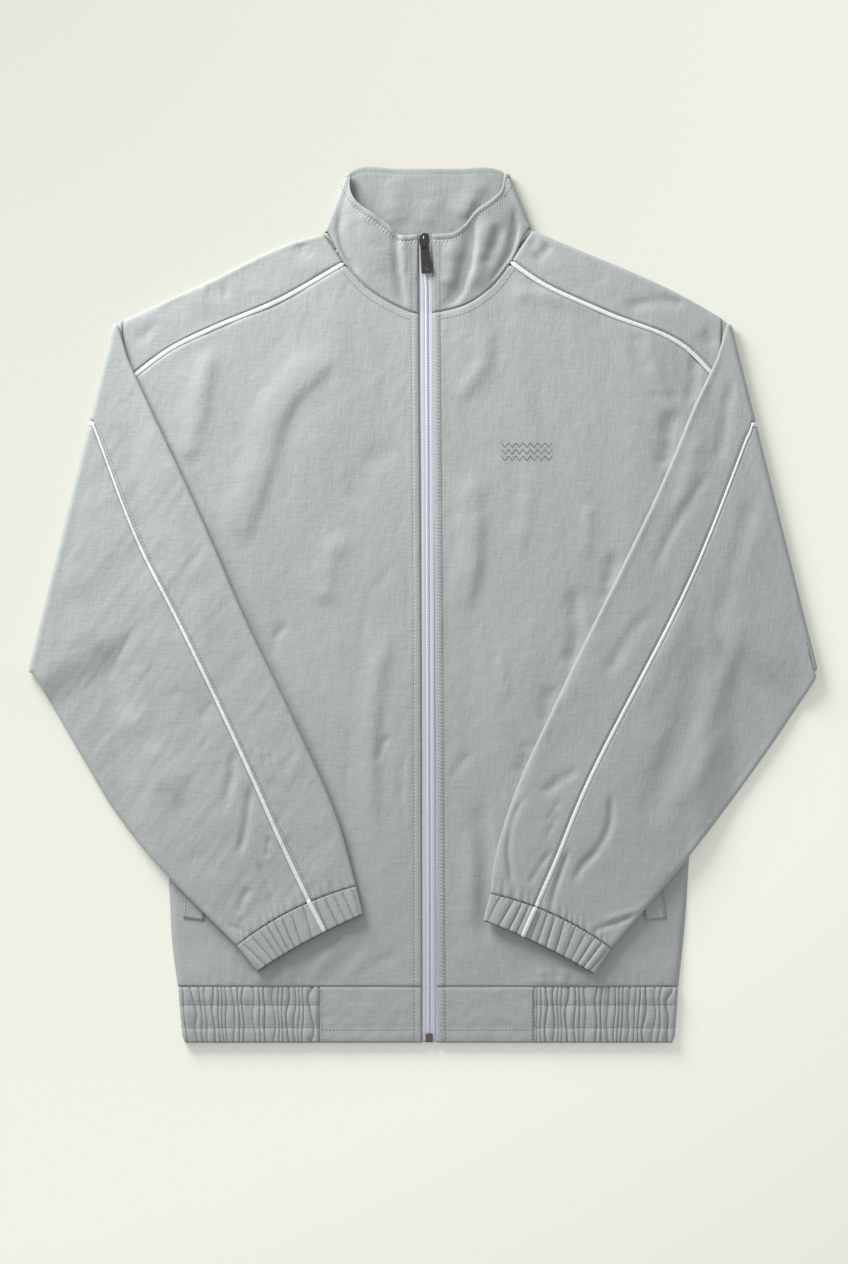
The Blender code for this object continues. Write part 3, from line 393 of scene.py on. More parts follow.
def in_from_side(half: Half, x: Number, y: Number) -> np.ndarray:
    """Distance in from where the body ends: its armhole above the armpit, its side seam below."""
    return half.sign * (at_height(half.side[::-1] + half.shoulder[-1:], y) - x)


def in_from_zip(half: Half, x: Number, y: Number) -> np.ndarray:
    """Distance from the cloth edge at the zip."""
    return half.sign * (x - at_height(half.zip_edge, y))


def front_mid(half: Half, x: Number, y: Number) -> np.ndarray:
    """Height of the middle of the front's wall, without creases or the roll along its side seam.

    Args:
        half: Which front.
        x, y: Plan coordinates of each point.

    Returns:
        The height at each point.
    """
    inside = in_from_side(half, x, y)
    body = ARMHOLE_MID + (BODY_MID - ARMHOLE_MID) * ease(inside / RISE)
    hem = HEM_MID - (HEM_MID - HEM_SIDE_MID) * ease(1.0 - inside / 30.0)
    return body + (hem - body) * ease(1.0 - (y - HEM_SEAM) / 40.0)


def front_surface(half: Half, x: Number, y: Number) -> np.ndarray:
    """The same, rolled down to the surface along the side seam.

    Args:
        half: Which front.
        x, y: Plan coordinates of each point.

    Returns:
        The height at each point.
    """
    level = front_mid(half, x, y)
    rolled = SIDE_EDGE_MID + (level - SIDE_EDGE_MID) * quarter(in_from_side(half, x, y) - WALL / 2, SIDE_ROLL)
    return level + (rolled - level) * ease((half.side[0][1] - y) / 22.0)


def support(half: Half, x: Number, y: Number) -> np.ndarray:
    """Middle height of what a folded sleeve lies on, less the lift of its lower layer.

    Args:
        half: Which sleeve.
        x, y: Plan coordinates of each point.

    Returns:
        The height at each point.
    """
    inside = in_from_side(half, x, y)
    pit, elbow = np.asarray(half.side[0]), np.asarray(half.elbow)
    run = (elbow - pit) / np.linalg.norm(elbow - pit)
    below = half.sign * ((x - pit[0]) * run[1] - (y - pit[1]) * run[0])
    outside = np.minimum(-inside, below)
    over = front_mid(half, x, y) + (BODY_LIFT - SLEEVE_LIFT) * ease(inside / 25.0)
    floor = WALL / 2 + SEAM - SLEEVE_LIFT
    return over + (floor - over) * ease(outside / DROP)


def edge_height(low: Number, high: Number, distance: Number, upper: bool) -> np.ndarray:
    """Height of one layer of a flattened tube at a distance from its rounded edge."""
    return (low + high) / 2 + np.where(upper, 1.0, -1.0) * (high - low) / 2 * quarter(distance, EDGE_ROLL)


def collar_level(v: Number) -> np.ndarray:
    """Height of the middle of the collar's front at a share of the way from the neck seam to its top edge."""
    return BODY_MID + (COLLAR_FRONT_MID - BODY_MID) * (0.7 * v + 0.3 * np.sin(np.pi * v / 2))


def zip_level(y: Number) -> np.ndarray:
    """Height of the middle of the cloth edges beside the zip.

    Args:
        y: Places up the zip.

    Returns:
        The height at each.
    """
    y = np.asarray(y, float)
    body = front_mid(LEFT, at_height(ZIP_LINE, y), np.minimum(y, NECK_Y))
    collar = collar_level(np.clip((y - NECK_Y) / (COLLAR_Y - NECK_Y), 0.0, 1.0))
    return np.where(y > NECK_Y, collar, np.where(y < HEM_SEAM, HEM_MID - 0.1, body))


def grid_normals(grid: np.ndarray, wrap: bool = False) -> np.ndarray:
    """Unit normals of a grid of points, from the quads round each.

    Args:
        grid: Points.
        wrap: True where the last column meets the first.

    Returns:
        A normal for each point.
    """
    across = np.concatenate([grid, grid[:, :1]], axis=1) if wrap else grid
    face = np.cross(across[1:, 1:] - across[:-1, :-1], across[1:, :-1] - across[:-1, 1:])
    face /= np.maximum(np.linalg.norm(face, axis=2, keepdims=True), TINY)
    total = np.zeros_like(across)
    for i, j in ((0, 0), (0, 1), (1, 0), (1, 1)):
        total[i : total.shape[0] - 1 + i, j : total.shape[1] - 1 + j] += face
    if wrap:
        total[:, 0] += total[:, -1]
        total = total[:, :-1]
    return total / np.maximum(np.linalg.norm(total, axis=2, keepdims=True), TINY)


class Body(Enum):
    """The CAD bodies that pieces ride on."""

    GARMENT = "garment"
    PULL = "pull"


@dataclass(frozen=True)
class Finish:
    """A material with the record's slot that it stands for."""

    material: bpy.types.Material
    slot: str


@dataclass
class Piece:
    """One finished mesh of the scene."""

    name: str
    points: np.ndarray
    faces: np.ndarray
    finish: Finish
    stands_for: tuple = ()
    body: Body = Body.GARMENT
    uv: np.ndarray | None = None  # a pair for each point, in metres
    seam: np.ndarray | None = None  # distance to a stitch row, length along it and its thread's pull
    dim: np.ndarray | None = None  # how much less light each point gets
    smooth: bool = True
    made: bpy.types.Object | None = None

    def build(self) -> "Piece":
        """Makes the object, joins it to its body and hides the solids it stands for.

        Returns:
            This piece.
        """
        mesh = bpy.data.meshes.new(self.name)
        faces = np.asarray(self.faces, np.int32)
        mesh.vertices.add(len(self.points))
        mesh.vertices.foreach_set("co", (self.points * MM).astype(np.float32).ravel())
        mesh.loops.add(faces.size)
        mesh.loops.foreach_set("vertex_index", faces.ravel())
        mesh.polygons.add(len(faces))
        mesh.polygons.foreach_set("loop_start", np.arange(len(faces), dtype=np.int32) * faces.shape[1])
        mesh.polygons.foreach_set("use_smooth", np.full(len(faces), self.smooth))
        mesh.update(calc_edges=True)
        if self.uv is not None:
            layer = mesh.uv_layers.new(name="cloth")
            layer.data.foreach_set("uv", self.uv[faces.ravel()].astype(np.float32).ravel())
        if self.seam is not None:
            for name, values in zip(("seam_gap", "seam_run", "seam_pull"), self.seam.T):
                mesh.attributes.new(name, "FLOAT", "POINT").data.foreach_set("value", values.astype(np.float32))
        if self.dim is not None:
            mesh.attributes.new("dim", "FLOAT", "POINT").data.foreach_set("value", self.dim.astype(np.float32))
        mesh.materials.append(self.finish.material)
        self.made = bpy.data.objects.new(self.name, mesh)
        bpy.context.scene.collection.objects.link(self.made)
        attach(self.made, self.body.value)
        if self.stands_for:
            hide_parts(*self.stands_for)
        LOG.info("%-24s %7d triangles", self.name, len(faces) * (faces.shape[1] - 2))
        return self

    def tree(self) -> BVHTree:
        """The piece's faces, to lay stitches on."""
        return BVHTree.FromPolygons(self.points.tolist(), np.asarray(self.faces).tolist())


def facing_out(points: np.ndarray, faces: np.ndarray) -> np.ndarray:
    """Closed faces, turned round where they face in.

    Args:
        points: The points.
        faces: Triangles or quads.

    Returns:
        The faces, all facing out.
    """
    a, b, c = points[faces[:, 0]], points[faces[:, 1]], points[faces[:, 2]]
    volume = np.einsum("ij,ij->i", a, np.cross(b, c)).sum()
    if faces.shape[1] == 4:
        volume += np.einsum("ij,ij->i", a, np.cross(c, points[faces[:, 3]])).sum()
    return faces if volume > 0 else faces[:, ::-1]


def grid_faces(rows: int, columns: int, wrap: bool = False) -> np.ndarray:
    """Quads of a grid of points numbered row by row.

    Args:
        rows: Rows of points.
        columns: Columns of points.
        wrap: True where the last column meets the first.

    Returns:
        The quads.
    """
    index = np.arange(rows * columns).reshape(rows, columns)
    if wrap:
        index = np.concatenate([index, index[:, :1]], axis=1)
    quads = np.stack([index[:-1, :-1], index[:-1, 1:], index[1:, 1:], index[1:, :-1]], axis=-1)
    return quads.reshape(-1, 4)


@dataclass(frozen=True)
class Rim:
    """Which borders of a wall thin out to a rounded edge."""

    first: bool = True
    last: bool = True
    start: bool = True
    end: bool = True


def rim_thickness(grid: np.ndarray, thick: float, rim: Rim, wrap: bool) -> np.ndarray:
    """Half thickness at each point: full inside, round down to SEAM_EDGE at the rim's borders.

    Args:
        grid: Middle points.
        thick: Full thickness.
        rim: The borders that thin out.
        wrap: True where the last column meets the first.

    Returns:
        A half thickness for each point.
    """
    near = np.full(grid.shape[:2], SEAM_ROUND)
    rows = np.pad(np.cumsum(np.linalg.norm(np.diff(grid, axis=0), axis=2), axis=0), ((1, 0), (0, 0)))
    columns = np.pad(np.cumsum(np.linalg.norm(np.diff(grid, axis=1), axis=2), axis=1), ((0, 0), (1, 0)))
    for thins, distance in (
        (rim.first, rows), (rim.last, rows[-1:] - rows),
        (rim.start and not wrap, columns), (rim.end and not wrap, columns[:, -1:] - columns),
    ):
        if thins:
            near = np.minimum(near, distance)
    return (SEAM_EDGE + (thick - SEAM_EDGE) * quarter(near, SEAM_ROUND)) / 2


def valley_dimness(grid: np.ndarray, normals: np.ndarray) -> np.ndarray:
    """Light lost in the valleys of a grid: grows with the curvature towards the outside, both ways.

    Args:
        grid: Points.
        normals: Their unit normals.

    Returns:
        A number from 0 to 1 for each point.
    """
    outside = normals * np.sign(normals.reshape(-1, 3)[grid[..., 2].argmax(), 2])
    total = np.zeros(grid.shape[:2])
    for axis, inner in ((0, np.s_[1:-1, :]), (1, np.s_[:, 1:-1])):
        step = np.diff(grid, axis=axis)
        size = np.maximum(np.linalg.norm(step, axis=2, keepdims=True), TINY)
        bend = np.diff(step / size, axis=axis)
        span = (size[:-1] + size[1:]) / 2 if axis == 0 else (size[:, :-1] + size[:, 1:]) / 2
        total[inner] += (bend / span * outside[inner]).sum(axis=2)
    padded = np.pad(total, 1, mode="edge")
    across = (padded[:, :-2] + 2 * padded[:, 1:-1] + padded[:, 2:]) / 4
    total = (across[:-2] + 2 * across[1:-1] + across[2:]) / 4
    return np.tanh(np.clip(total, 0.0, None) / VALLEY_BEND)


def cloth(
    name: str,
    grid: np.ndarray,
    finish: Finish,
    stands_for: tuple,
    thick: float = WALL,
    wrap: bool = False,
    rim: Rim = Rim(),
    seam: np.ndarray | None = None,
    dim: np.ndarray | float = 0.0,
    valleys: float = 0.07,
) -> Piece:
    """A closed wall on a grid of middle points, thinned to a rounded edge at its seams.

    Args:
        name: The piece's name.
        grid: Middle points, rows along the cloth and columns across it.
        finish: Its material and slot.
        stands_for: CAD nodes it replaces.
        thick: Full thickness.
        wrap: True where the last column meets the first.
        rim: The borders that thin out.
        seam: For each grid point, the distance to a stitch row and the length along it.
        dim: Share of light lost beside that lost in the valleys.
        valleys: Share lost in the sharpest valleys.

    Returns:
        The built piece.
    """
    rows, columns = grid.shape[:2]
    normals = grid_normals(grid, wrap)
    dim = dim + np.zeros((rows, columns)) + valleys * valley_dimness(grid, normals)
    dim[[0, -1]] += SEAM_DIMNESS
    if not wrap:
        dim[:, [0, -1]] += SEAM_DIMNESS
    dim = dim.clip(0.0, 0.9).ravel()
    normals = normals * rim_thickness(grid, thick, rim, wrap)[..., None]
    points = np.concatenate([(grid + normals).reshape(-1, 3), (grid - normals).reshape(-1, 3)])
    top = grid_faces(rows, columns, wrap)
    size = rows * columns
    index = np.arange(size).reshape(rows, columns)
    if wrap:
        index = np.concatenate([index, index[:, :1]], axis=1)
    borders = [(index[0], 1), (index[-1], -1)]
    if not wrap:
        borders += [(index[:, 0], -1), (index[:, -1], 1)]
    faces = [top, top[:, ::-1] + size]
    for line, sense in borders:
        faces.append(np.stack([line[:-1], line[:-1] + size, line[1:] + size, line[1:]], axis=-1)[:, ::sense])
    faces = facing_out(points, np.concatenate(faces))
    spans_u = np.linalg.norm(np.diff(grid, axis=1), axis=2)
    spans_v = np.linalg.norm(np.diff(grid, axis=0), axis=2)
    LOG.info("%-24s %8.4f square metres", name, (spans_u[:-1] * spans_v[:, :-1]).sum() * MM**2)
    u, v = np.meshgrid(summed(spans_u.mean(axis=0)), summed(spans_v.mean(axis=1)))
    uv = np.stack([u, v], axis=-1).reshape(-1, 2) * MM
    if seam is None:
        seam = np.tile([NO_SEAM, 0.0, 0.0], (rows, columns, 1))
    values = {"uv": uv, "seam": seam.reshape(-1, 3), "dim": dim}
    twice = {key: np.concatenate([value, value]) for key, value in values.items()}
    return Piece(name, points, faces, finish, stands_for, **twice).build()


def loft(rings: np.ndarray) -> tuple:
    """A closed body through stacked rings of points, closed at both ends by a fan.

    Args:
        rings: Array (rings, points, 3).

    Returns:
        Points and triangles, facing out.
    """
    count, sides = rings.shape[:2]
    points = np.concatenate([rings.reshape(-1, 3), rings[[0, -1]].mean(axis=1)])
    each, size = np.arange(sides), count * sides
    after = np.roll(each, -1)
    first = np.stack([after, each, np.full(sides, size)], axis=-1)
    last = np.stack([each + size - sides, after + size - sides, np.full(sides, size + 1)], axis=-1)
    quads = grid_faces(count, sides, True)
    return points, facing_out(points, np.concatenate([quads[:, [0, 1, 2]], quads[:, [0, 2, 3]], first, last]))


def tube(
    centres: np.ndarray, across: np.ndarray, half_width: Number, half_thick: Number, sides: int = 12
) -> tuple:
    """A closed cord along centres: an oval ring at each, its width in the direction of across.

    Args:
        centres: Middle line.
        across: Unit direction of the width at each point.
        half_width: Half width, one or a number for each point.
        half_thick: Half thickness, likewise.
        sides: Points of a ring.

    Returns:
        Points and triangles.
    """
    heading = np.gradient(centres, axis=0)
    up = np.cross(heading, across)
    up /= np.maximum(np.linalg.norm(up, axis=1, keepdims=True), TINY)
    turn = np.arange(sides) * 2 * np.pi / sides
    half_width = np.broadcast_to(half_width, len(centres))[:, None, None]
    half_thick = np.broadcast_to(half_thick, len(centres))[:, None, None]
    return loft(
        centres[:, None]
        + half_width * np.cos(turn)[None, :, None] * across[:, None]
        + half_thick * np.sin(turn)[None, :, None] * up[:, None]
    )


def patch(start: np.ndarray, end: np.ndarray, low: np.ndarray, high: np.ndarray, shares: tuple) -> np.ndarray:
    """A plan grid stretched between four border lines.

    Args:
        start: Points of the first column.
        end: Points of the last column.
        low: Points of the first row.
        high: Points of the last row.
        shares: How far across each column and how far up each row is, from 0 to 1.

    Returns:
        The grid's points.
    """
    u, v = shares[0][None, :, None], shares[1][:, None, None]
    sides = (1 - u) * start[:, None] + u * end[:, None]
    ends = (1 - v) * low[None] + v * high[None]
    corners = (1 - u) * (1 - v) * low[0] + u * (1 - v) * low[-1] + (1 - u) * v * high[0] + u * v * high[-1]
    return sides + ends - corners


def zip_edge_shape(from_zip: np.ndarray, puff: float) -> np.ndarray:
    """Height added beside the zip: a soft ridge at the edge and a dent at the stitch row."""
    return puff * bell(from_zip - 4.2, 3.0) - 0.35 * bell(from_zip - STITCH_IN, 1.5)


@dataclass(frozen=True)
class Cloths:
    """The finishes of the garment."""

    cloth: Finish
    piping: Finish
    tape: Finish
    metal: Finish
    stop: Finish
    thread: Finish


@dataclass
class Front:
    """One front panel, from the zip edge to the side seam and up to the shoulder piping."""

    half: Half
    creases: tuple
    rows: int = 262
    columns: int = 96
    near_zip: float = 16.0  # width at the zip edge that has closer columns
    near_columns: int = 16
    pull: float = 1.0  # strength of the puckers beside the zip
    crinkle: float = 0.2  # height of the usual crinkles
    deepest: float = 3.2  # limit that the creases' heights approach

    def plan(self) -> np.ndarray:
        """Plan points of the panel: a patch between zip edge, hem seam, side with armhole, and neck.

        Returns:
            A grid of points.
        """
        half = self.half
        neck = aside(curved(half.neck), half.sign * -JOIN / 2)
        piping = aside(curved(half.front_piping), half.sign * -PIPING_SLOT)
        top = np.concatenate([neck[:-1], piping])
        top[:, 0] -= half.sign * 0.15 * ease((np.abs(top[:, 0]) - 200.0) / 50.0)
        wide = abs(top[-1, 0] - top[0, 0])
        close = np.linspace(0.0, self.near_zip, self.near_columns, endpoint=False)
        open_columns = np.linspace(self.near_zip, wide, self.columns - self.near_columns)
        across = np.concatenate([close, open_columns]) / wide
        order = half.sign * top[:, 0]
        x = top[0, 0] + across * (top[-1, 0] - top[0, 0])
        top = np.column_stack([x, np.interp(half.sign * x, order, top[:, 1])])
        edge = np.concatenate([curved(half.side)[::-1], top[-1:]])
        edge[:, 0] -= half.sign * np.where(edge[:, 1] < half.side[0][1] + 5, WALL / 2, JOIN / 2)
        edge[-1] = top[-1]
        up = np.linspace(0.0, 1.0, self.rows)
        start = along([(at_height(half.zip_edge, HEM_SEAM), HEM_SEAM), half.zip_edge[1], top[0]], up)
        end = along(edge, up)
        start[0, 1] = end[0, 1] = HEM_SEAM + JOIN / 2
        hem = start[0] + across[:, None] * (end[0] - start[0])
        return patch(start, end, hem, top, (across, up))

    def height(self, x: np.ndarray, y: np.ndarray) -> np.ndarray:
        """Height of the middle of the wall with its creases, quieter where the sleeve lies on it.

        Args:
            x, y: Plan coordinates of each point.

        Returns:
            The height at each point.
        """
        half = self.half
        from_zip, from_hem = in_from_zip(half, x, y), y - HEM_SEAM
        hidden = ease((sleeve_cover(half, x, y) + 4.0) / 10.0)
        made = fold(self.creases, x, y) + self.crinkle * crinkles(x, y, (
            (1.0, 0.3, 11 + half.sign, (7.0, 26.0)),
            (0.5, -0.2, 21 + half.sign, (3.6, 12.0)),
            (1.5, 0.2, 26 + half.sign, (15.0, 34.0)),
            (5.0, 0.0, 31 + half.sign, (38.0, 80.0)),
        ))
        made *= (1.0 - 0.85 * hidden) * ease(in_from_side(half, x, y) / 10.0) * ease(from_hem / 3.0)
        made *= 0.15 + 0.85 * ease((from_zip - 3.0) / 9.0)
        made = self.deepest * np.tanh(made / self.deepest)
        gather = 0.45 * ease(1.0 - from_hem / 20.0) * np.sin(x * 0.75 + 2.0 * np.sin(x * 0.13))
        low = half.zip_edge[0][0]
        gather *= ease((np.abs(x - low) - np.abs(half.join - low)) / 12.0 + 0.4) * ease(from_hem / 4.0)
        return front_surface(half, x, y) + made + zip_edge_shape(from_zip, 0.55) + gather

    def build(self, finish: Finish) -> Piece:
        """The panel's mesh, with its distance from the zip's stitch row.

        Args:
            finish: Its material and slot.

        Returns:
            The built piece.
        """
        plan = self.plan()
        x, y = plan[..., 0], plan[..., 1]
        grid = np.dstack([plan, self.height(x, y)])
        name = f"front_{self.half.name}"
        seam = np.dstack([in_from_zip(self.half, x, y) - STITCH_IN, y, np.full(x.shape, self.pull)])
        piece = cloth(f"panel_{name}", grid, finish, (name,), seam=seam)
        return piece


def sleeve_cover(half: Half, x: np.ndarray, y: np.ndarray) -> np.ndarray:
    """How far a point lies under the folded sleeve.

    Args:
        half: Which sleeve.
        x, y: Plan coordinates of each point.

    Returns:
        The distance in from the sleeve's inner edge and cuff, below nought outside.
    """
    inner = curved(half.inner)
    across = half.sign * (x - at_height(inner[np.argsort(inner[:, 1])], y))
    seam_top, seam_under = np.asarray(half.cuff[2]), np.asarray(half.cuff[3])
    run = (seam_under - seam_top) / np.linalg.norm(seam_under - seam_top)
    up = half.sign * (-(x - seam_top[0]) * run[1] + (y - seam_top[1]) * run[0])
    return np.minimum(across, up)


def roll_steps(count: int) -> np.ndarray:
    """Distances from a flattened tube's edge that turn it by even angles."""
    return EDGE_ROLL * (1.0 - np.cos(np.linspace(0.0, np.pi / 2, count, endpoint=False)))


@dataclass
class Shoulder:
    """Yoke, sleeve and pipings of one side, from the collar to the cuff seam."""

    half: Half
    creases: tuple
    strip_creases: tuple
    yoke_creases: tuple
    yoke_stations: int = 84
    sleeve_stations: int = 216
    fold_stations: int = 13
    under_columns: int = 84
    hidden_columns: int = 24
    strip_columns: int = 30
    roll_columns: int = 6
    arm_stations: int = 8  # between the armhole and the fold
    fold_shift: float = 0.036  # share by which the front piping crosses the fold before the back one
    settled: int = 6  # stations after the fold over which the piping comes to its line
    crinkle: float = 0.2  # height of the usual crinkles
    deepest: float = 2.3  # limit that the creases' heights approach
    at_cuff: float = 0.25  # share of the creases' height kept at the cuff seam

    def stations(self, line: tuple, distance: float) -> np.ndarray:
        """Points of a line of the yoke, moved aside, one for each station."""
        shares = np.linspace(0.0, 0.9985, self.yoke_stations)
        return along(aside(curved(line), self.half.sign * distance), shares)

    def yoke(self) -> np.ndarray:
        """Grid of the yoke: a row for each station, from the front piping over the shoulder to the back one.

        Returns:
            The grid's points.
        """
        half = self.half
        front = self.stations(half.front_piping, PIPING_SLOT)
        back = self.stations(half.back_piping, PIPING_SLOT)
        edge = self.stations(half.shoulder, -WALL / 2)
        rolls = roll_steps(self.roll_columns)
        layers = []
        for side, upper, columns in ((front, True, 22), (back, False, 8)):
            over = np.linalg.norm(side - edge, axis=1)[:, None]
            flat = EDGE_ROLL + (over - EDGE_ROLL) * np.linspace(0.0, 1.0, columns)
            distance = np.concatenate([np.broadcast_to(rolls, (len(over), len(rolls))), flat], axis=1)
            plan = edge[:, None] + (side - edge)[:, None] * (distance / over)[..., None]
            past = np.maximum(JOIN / 2 - in_from_side(half, plan[..., 0], plan[..., 1]), 0.0)
            plan[..., 0] -= half.sign * past
            plan[..., 1] += past
            x, y = plan[..., 0], plan[..., 1]
            z = edge_height(BACK_MID, front_mid(half, x, y), distance, upper)
            if upper:
                made = fold(self.yoke_creases, x, y) + self.crinkle * crinkles(x, y, (
                    (1.0, 0.0, 5, (9.0, 9.0)),
                    (3.5, 0.0, 6, (30.0, 22.0)),
                ))
                z = z + made * ease(distance / 6.0) * ease((over - distance) / 3.0)
            layers.append(np.dstack([plan, z]))
        return np.concatenate([layers[0][:, ::-1], layers[1][:, 1:]], axis=1)

    def sections(self) -> dict:
        """The sleeve's sections from the armhole through the fold to the cuff.

        Returns:
            Arrays: plan ends top and under, shares at which the front and back pipings cross, the angle of
            the fold, how far after the fold the section is, and the inward direction.
        """
        half = self.half
        tip, elbow = np.asarray(half.tip), np.asarray(half.elbow)
        run = (elbow - tip) / np.linalg.norm(elbow - tip)
        inward = np.array([run[1], -run[0]]) * half.sign
        centre_tip = tip + inward * FOLD_CENTRE + run * 1.0
        centre_elbow = elbow + inward * FOLD_CENTRE - run * 3.0
        armhole_top = np.asarray(half.shoulder[-1]) + np.array([half.sign * SEAM, -0.6])
        pit = np.asarray(half.side[0]) + np.array([half.sign * SEAM, 0.0])
        size = np.linalg.norm(pit - armhole_top)
        arm = [(armhole_top[1] - line[-1][1]) / size for line in (half.front_piping, half.back_piping)]
        fold_back = crossing_share(centre_tip, centre_elbow, half.sleeve_piping)
        first = np.linalg.norm(np.asarray(half.sleeve_piping[0]) - tip) / np.linalg.norm(elbow - tip)
        fold_back = max(fold_back, first)
        fold_front = fold_back - self.fold_shift
        early = self.arm_stations
        out = np.linspace(0, 1, early, endpoint=False)[:, None]
        shares = np.linspace(0, 1, self.sleeve_stations + 1)[1:]
        replaced = 8  # first points of the edges, taken over by the fold's centre line
        inner = along(np.concatenate([[centre_tip], curved(half.inner)[replaced:]]), shares)
        outer = along(np.concatenate([[centre_elbow], curved(half.outer)[replaced:]]), shares)
        piping = curved(half.sleeve_piping)
        crossings = np.array([crossing_share(t, u, piping) for t, u in zip(inner, outer)])
        settled = self.settled
        crossings[:settled] = fold_back + (crossings[settled] - fold_back) * np.arange(settled) / settled
        turns = np.linspace(-90.0, 90.0, self.fold_stations)
        one = np.ones(len(turns))
        return {
            "inward": inward,
            "top": np.concatenate([
                armhole_top + (centre_tip - armhole_top) * out, one[:, None] * centre_tip, inner,
            ]),
            "under": np.concatenate([pit + (centre_elbow - pit) * out, one[:, None] * centre_elbow, outer]),
            "front": np.concatenate([
                arm[0] + (fold_front - arm[0]) * out[:, 0], one * fold_front,
                fold_front + (FRONT_SHARE - fold_front) * shares,
            ]),
            "back": np.concatenate([arm[1] + (fold_back - arm[1]) * out[:, 0], one * fold_back, crossings]),
            "turn": np.concatenate([np.full(early, -90.0), turns, np.full(len(shares), 90.0)]),
            "after": np.concatenate([np.zeros(early + len(turns)), shares]),
        }

    def place(self, cut: dict, share: np.ndarray, upper: bool, creases: tuple = ()) -> np.ndarray:
        """Points of the sleeve on one layer: the back's (upper once folded over) or the front's.

        Args:
            cut: What sections() returns.
            share: For each section a row of places across it, 0 at the shoulder's fold and 1 at the underarm.
            upper: Which layer.
            creases: Folds added on the part that lies over the body.

        Returns:
            A grid of points.
        """
        half = self.half
        top, under = cut["top"][:, None], cut["under"][:, None]
        turn, after = cut["turn"][:, None], cut["after"][:, None]
        size = np.linalg.norm(under - top, axis=2)
        run = (under - top) / size[..., None]
        plan = top + (under - top) * share[..., None]
        distance = np.minimum(share, 1.0 - share) * size
        flat = edge_height(BACK_MID, ARMHOLE_MID, distance, not upper)
        radius = FOLD_CENTRE - flat
        angle = np.radians(turn)
        turned = plan - cut["inward"] * (radius * np.cos(angle))[..., None]
        before = np.dstack([turned, FOLD_CENTRE + radius * np.sin(angle)])
        plan = plan + run * ((WALL / 2) * (1.0 - 2.0 * share))[..., None]
        bow = CUFF_SEAM_BOW * 4 * share * (1.0 - share) * ease((after - 0.7) / 0.3)
        sideways = np.stack([-run[..., 1], run[..., 0]], axis=-1) * half.sign
        plan = plan + sideways * bow[..., None]
        x, y = plan[..., 0], plan[..., 1]
        away = np.abs((plan - np.asarray(half.tip)) @ cut["inward"]) - FOLD_CENTRE
        level = 2 * FOLD_CENTRE - ARMHOLE_MID
        low = level + (support(half, x, y) + SLEEVE_LIFT - level) * ease(away / 24.0)
        puff = SLEEVE_GAP + (SLEEVE_PUFF - SLEEVE_GAP) * ease(away / 60.0)
        puff += (CUFF_GAP - puff) * ease((after - 0.75) / 0.25)
        z = edge_height(low, low + puff, distance, upper)
        if upper:
            made = fold(creases, x, y) + self.crinkle * crinkles(x, y, (
                (1.0, half.sign * 0.75, 41 + half.sign, (7.0, 30.0)),
                (0.5, half.sign * 0.75, 51 + half.sign, (3.6, 13.0)),
                (1.4, half.sign * 0.6, 56 + half.sign, (13.0, 30.0)),
                (5.0, 0.0, 61 + half.sign, (40.0, 60.0)),
            ))
            made = self.deepest * np.tanh(made / self.deepest)
            at_seam = self.at_cuff + (1.0 - self.at_cuff) * ease((1.0 - after) / 0.05)
            z = z + made * ease(distance / 9.0) * ease(away / 12.0) * at_seam
            across = share * size
            gather = 0.5 * np.sin(across * 0.9 + 2.0 * np.sin(across * 0.17)) * ease((after - 0.965) / 0.03)
            z = z + gather * ease(distance / 8.0)
        lying = np.dstack([plan, z])
        return np.where((after > 0.0)[..., None], lying, before)

    def build(self, finishes: Cloths) -> list:
        """Yoke, strip, under part and the two long pipings.

        Args:
            finishes: All finishes.

        Returns:
            The built pieces in that order.
        """
        half = self.half
        yoke = self.yoke()
        cut = self.sections()
        size = np.linalg.norm(cut["under"] - cut["top"], axis=1)[:, None]
        slot, roll = PIPING_SLOT / size, EDGE_ROLL / size
        rolls = roll_steps(self.roll_columns) / size
        front, back = cut["front"][:, None], cut["back"][:, None]
        hidden, shown = np.linspace(1, 0, self.hidden_columns // 3), np.linspace(0, 1, self.strip_columns)
        strip_low = np.concatenate([roll + (front - slot - roll) * hidden, rolls[:, ::-1]], axis=1)
        strip_high = np.concatenate([rolls[:, 1:], roll + (back - slot - roll) * shown], axis=1)
        shown, hidden = np.linspace(0, 1, self.under_columns), np.linspace(0, 1, self.hidden_columns)
        under_high = back + slot + (1 - roll - back - slot) * shown
        under_high = np.concatenate([under_high, 1 - rolls[:, ::-1]], axis=1)
        under_low = np.concatenate([1 - rolls[:, 1:], 1 - roll - (1 - roll - front - slot) * hidden], axis=1)
        strip = np.concatenate([
            self.place(cut, strip_low, False),
            self.place(cut, strip_high, True, self.strip_creases + self.creases),
        ], axis=1)
        under = np.concatenate([
            self.place(cut, under_high, True, self.creases), self.place(cut, under_low, False)
        ], axis=1)
        pieces = []
        for part, grid in (("yoke", yoke), ("sleeve_strip", strip), ("sleeve_under", under)):
            node = f"{part}_{half.name}"
            pieces.append(cloth(f"panel_{node}", grid, finishes.cloth, (node,)))
        pieces += self.build_pipings(finishes, yoke, strip, under)
        return pieces

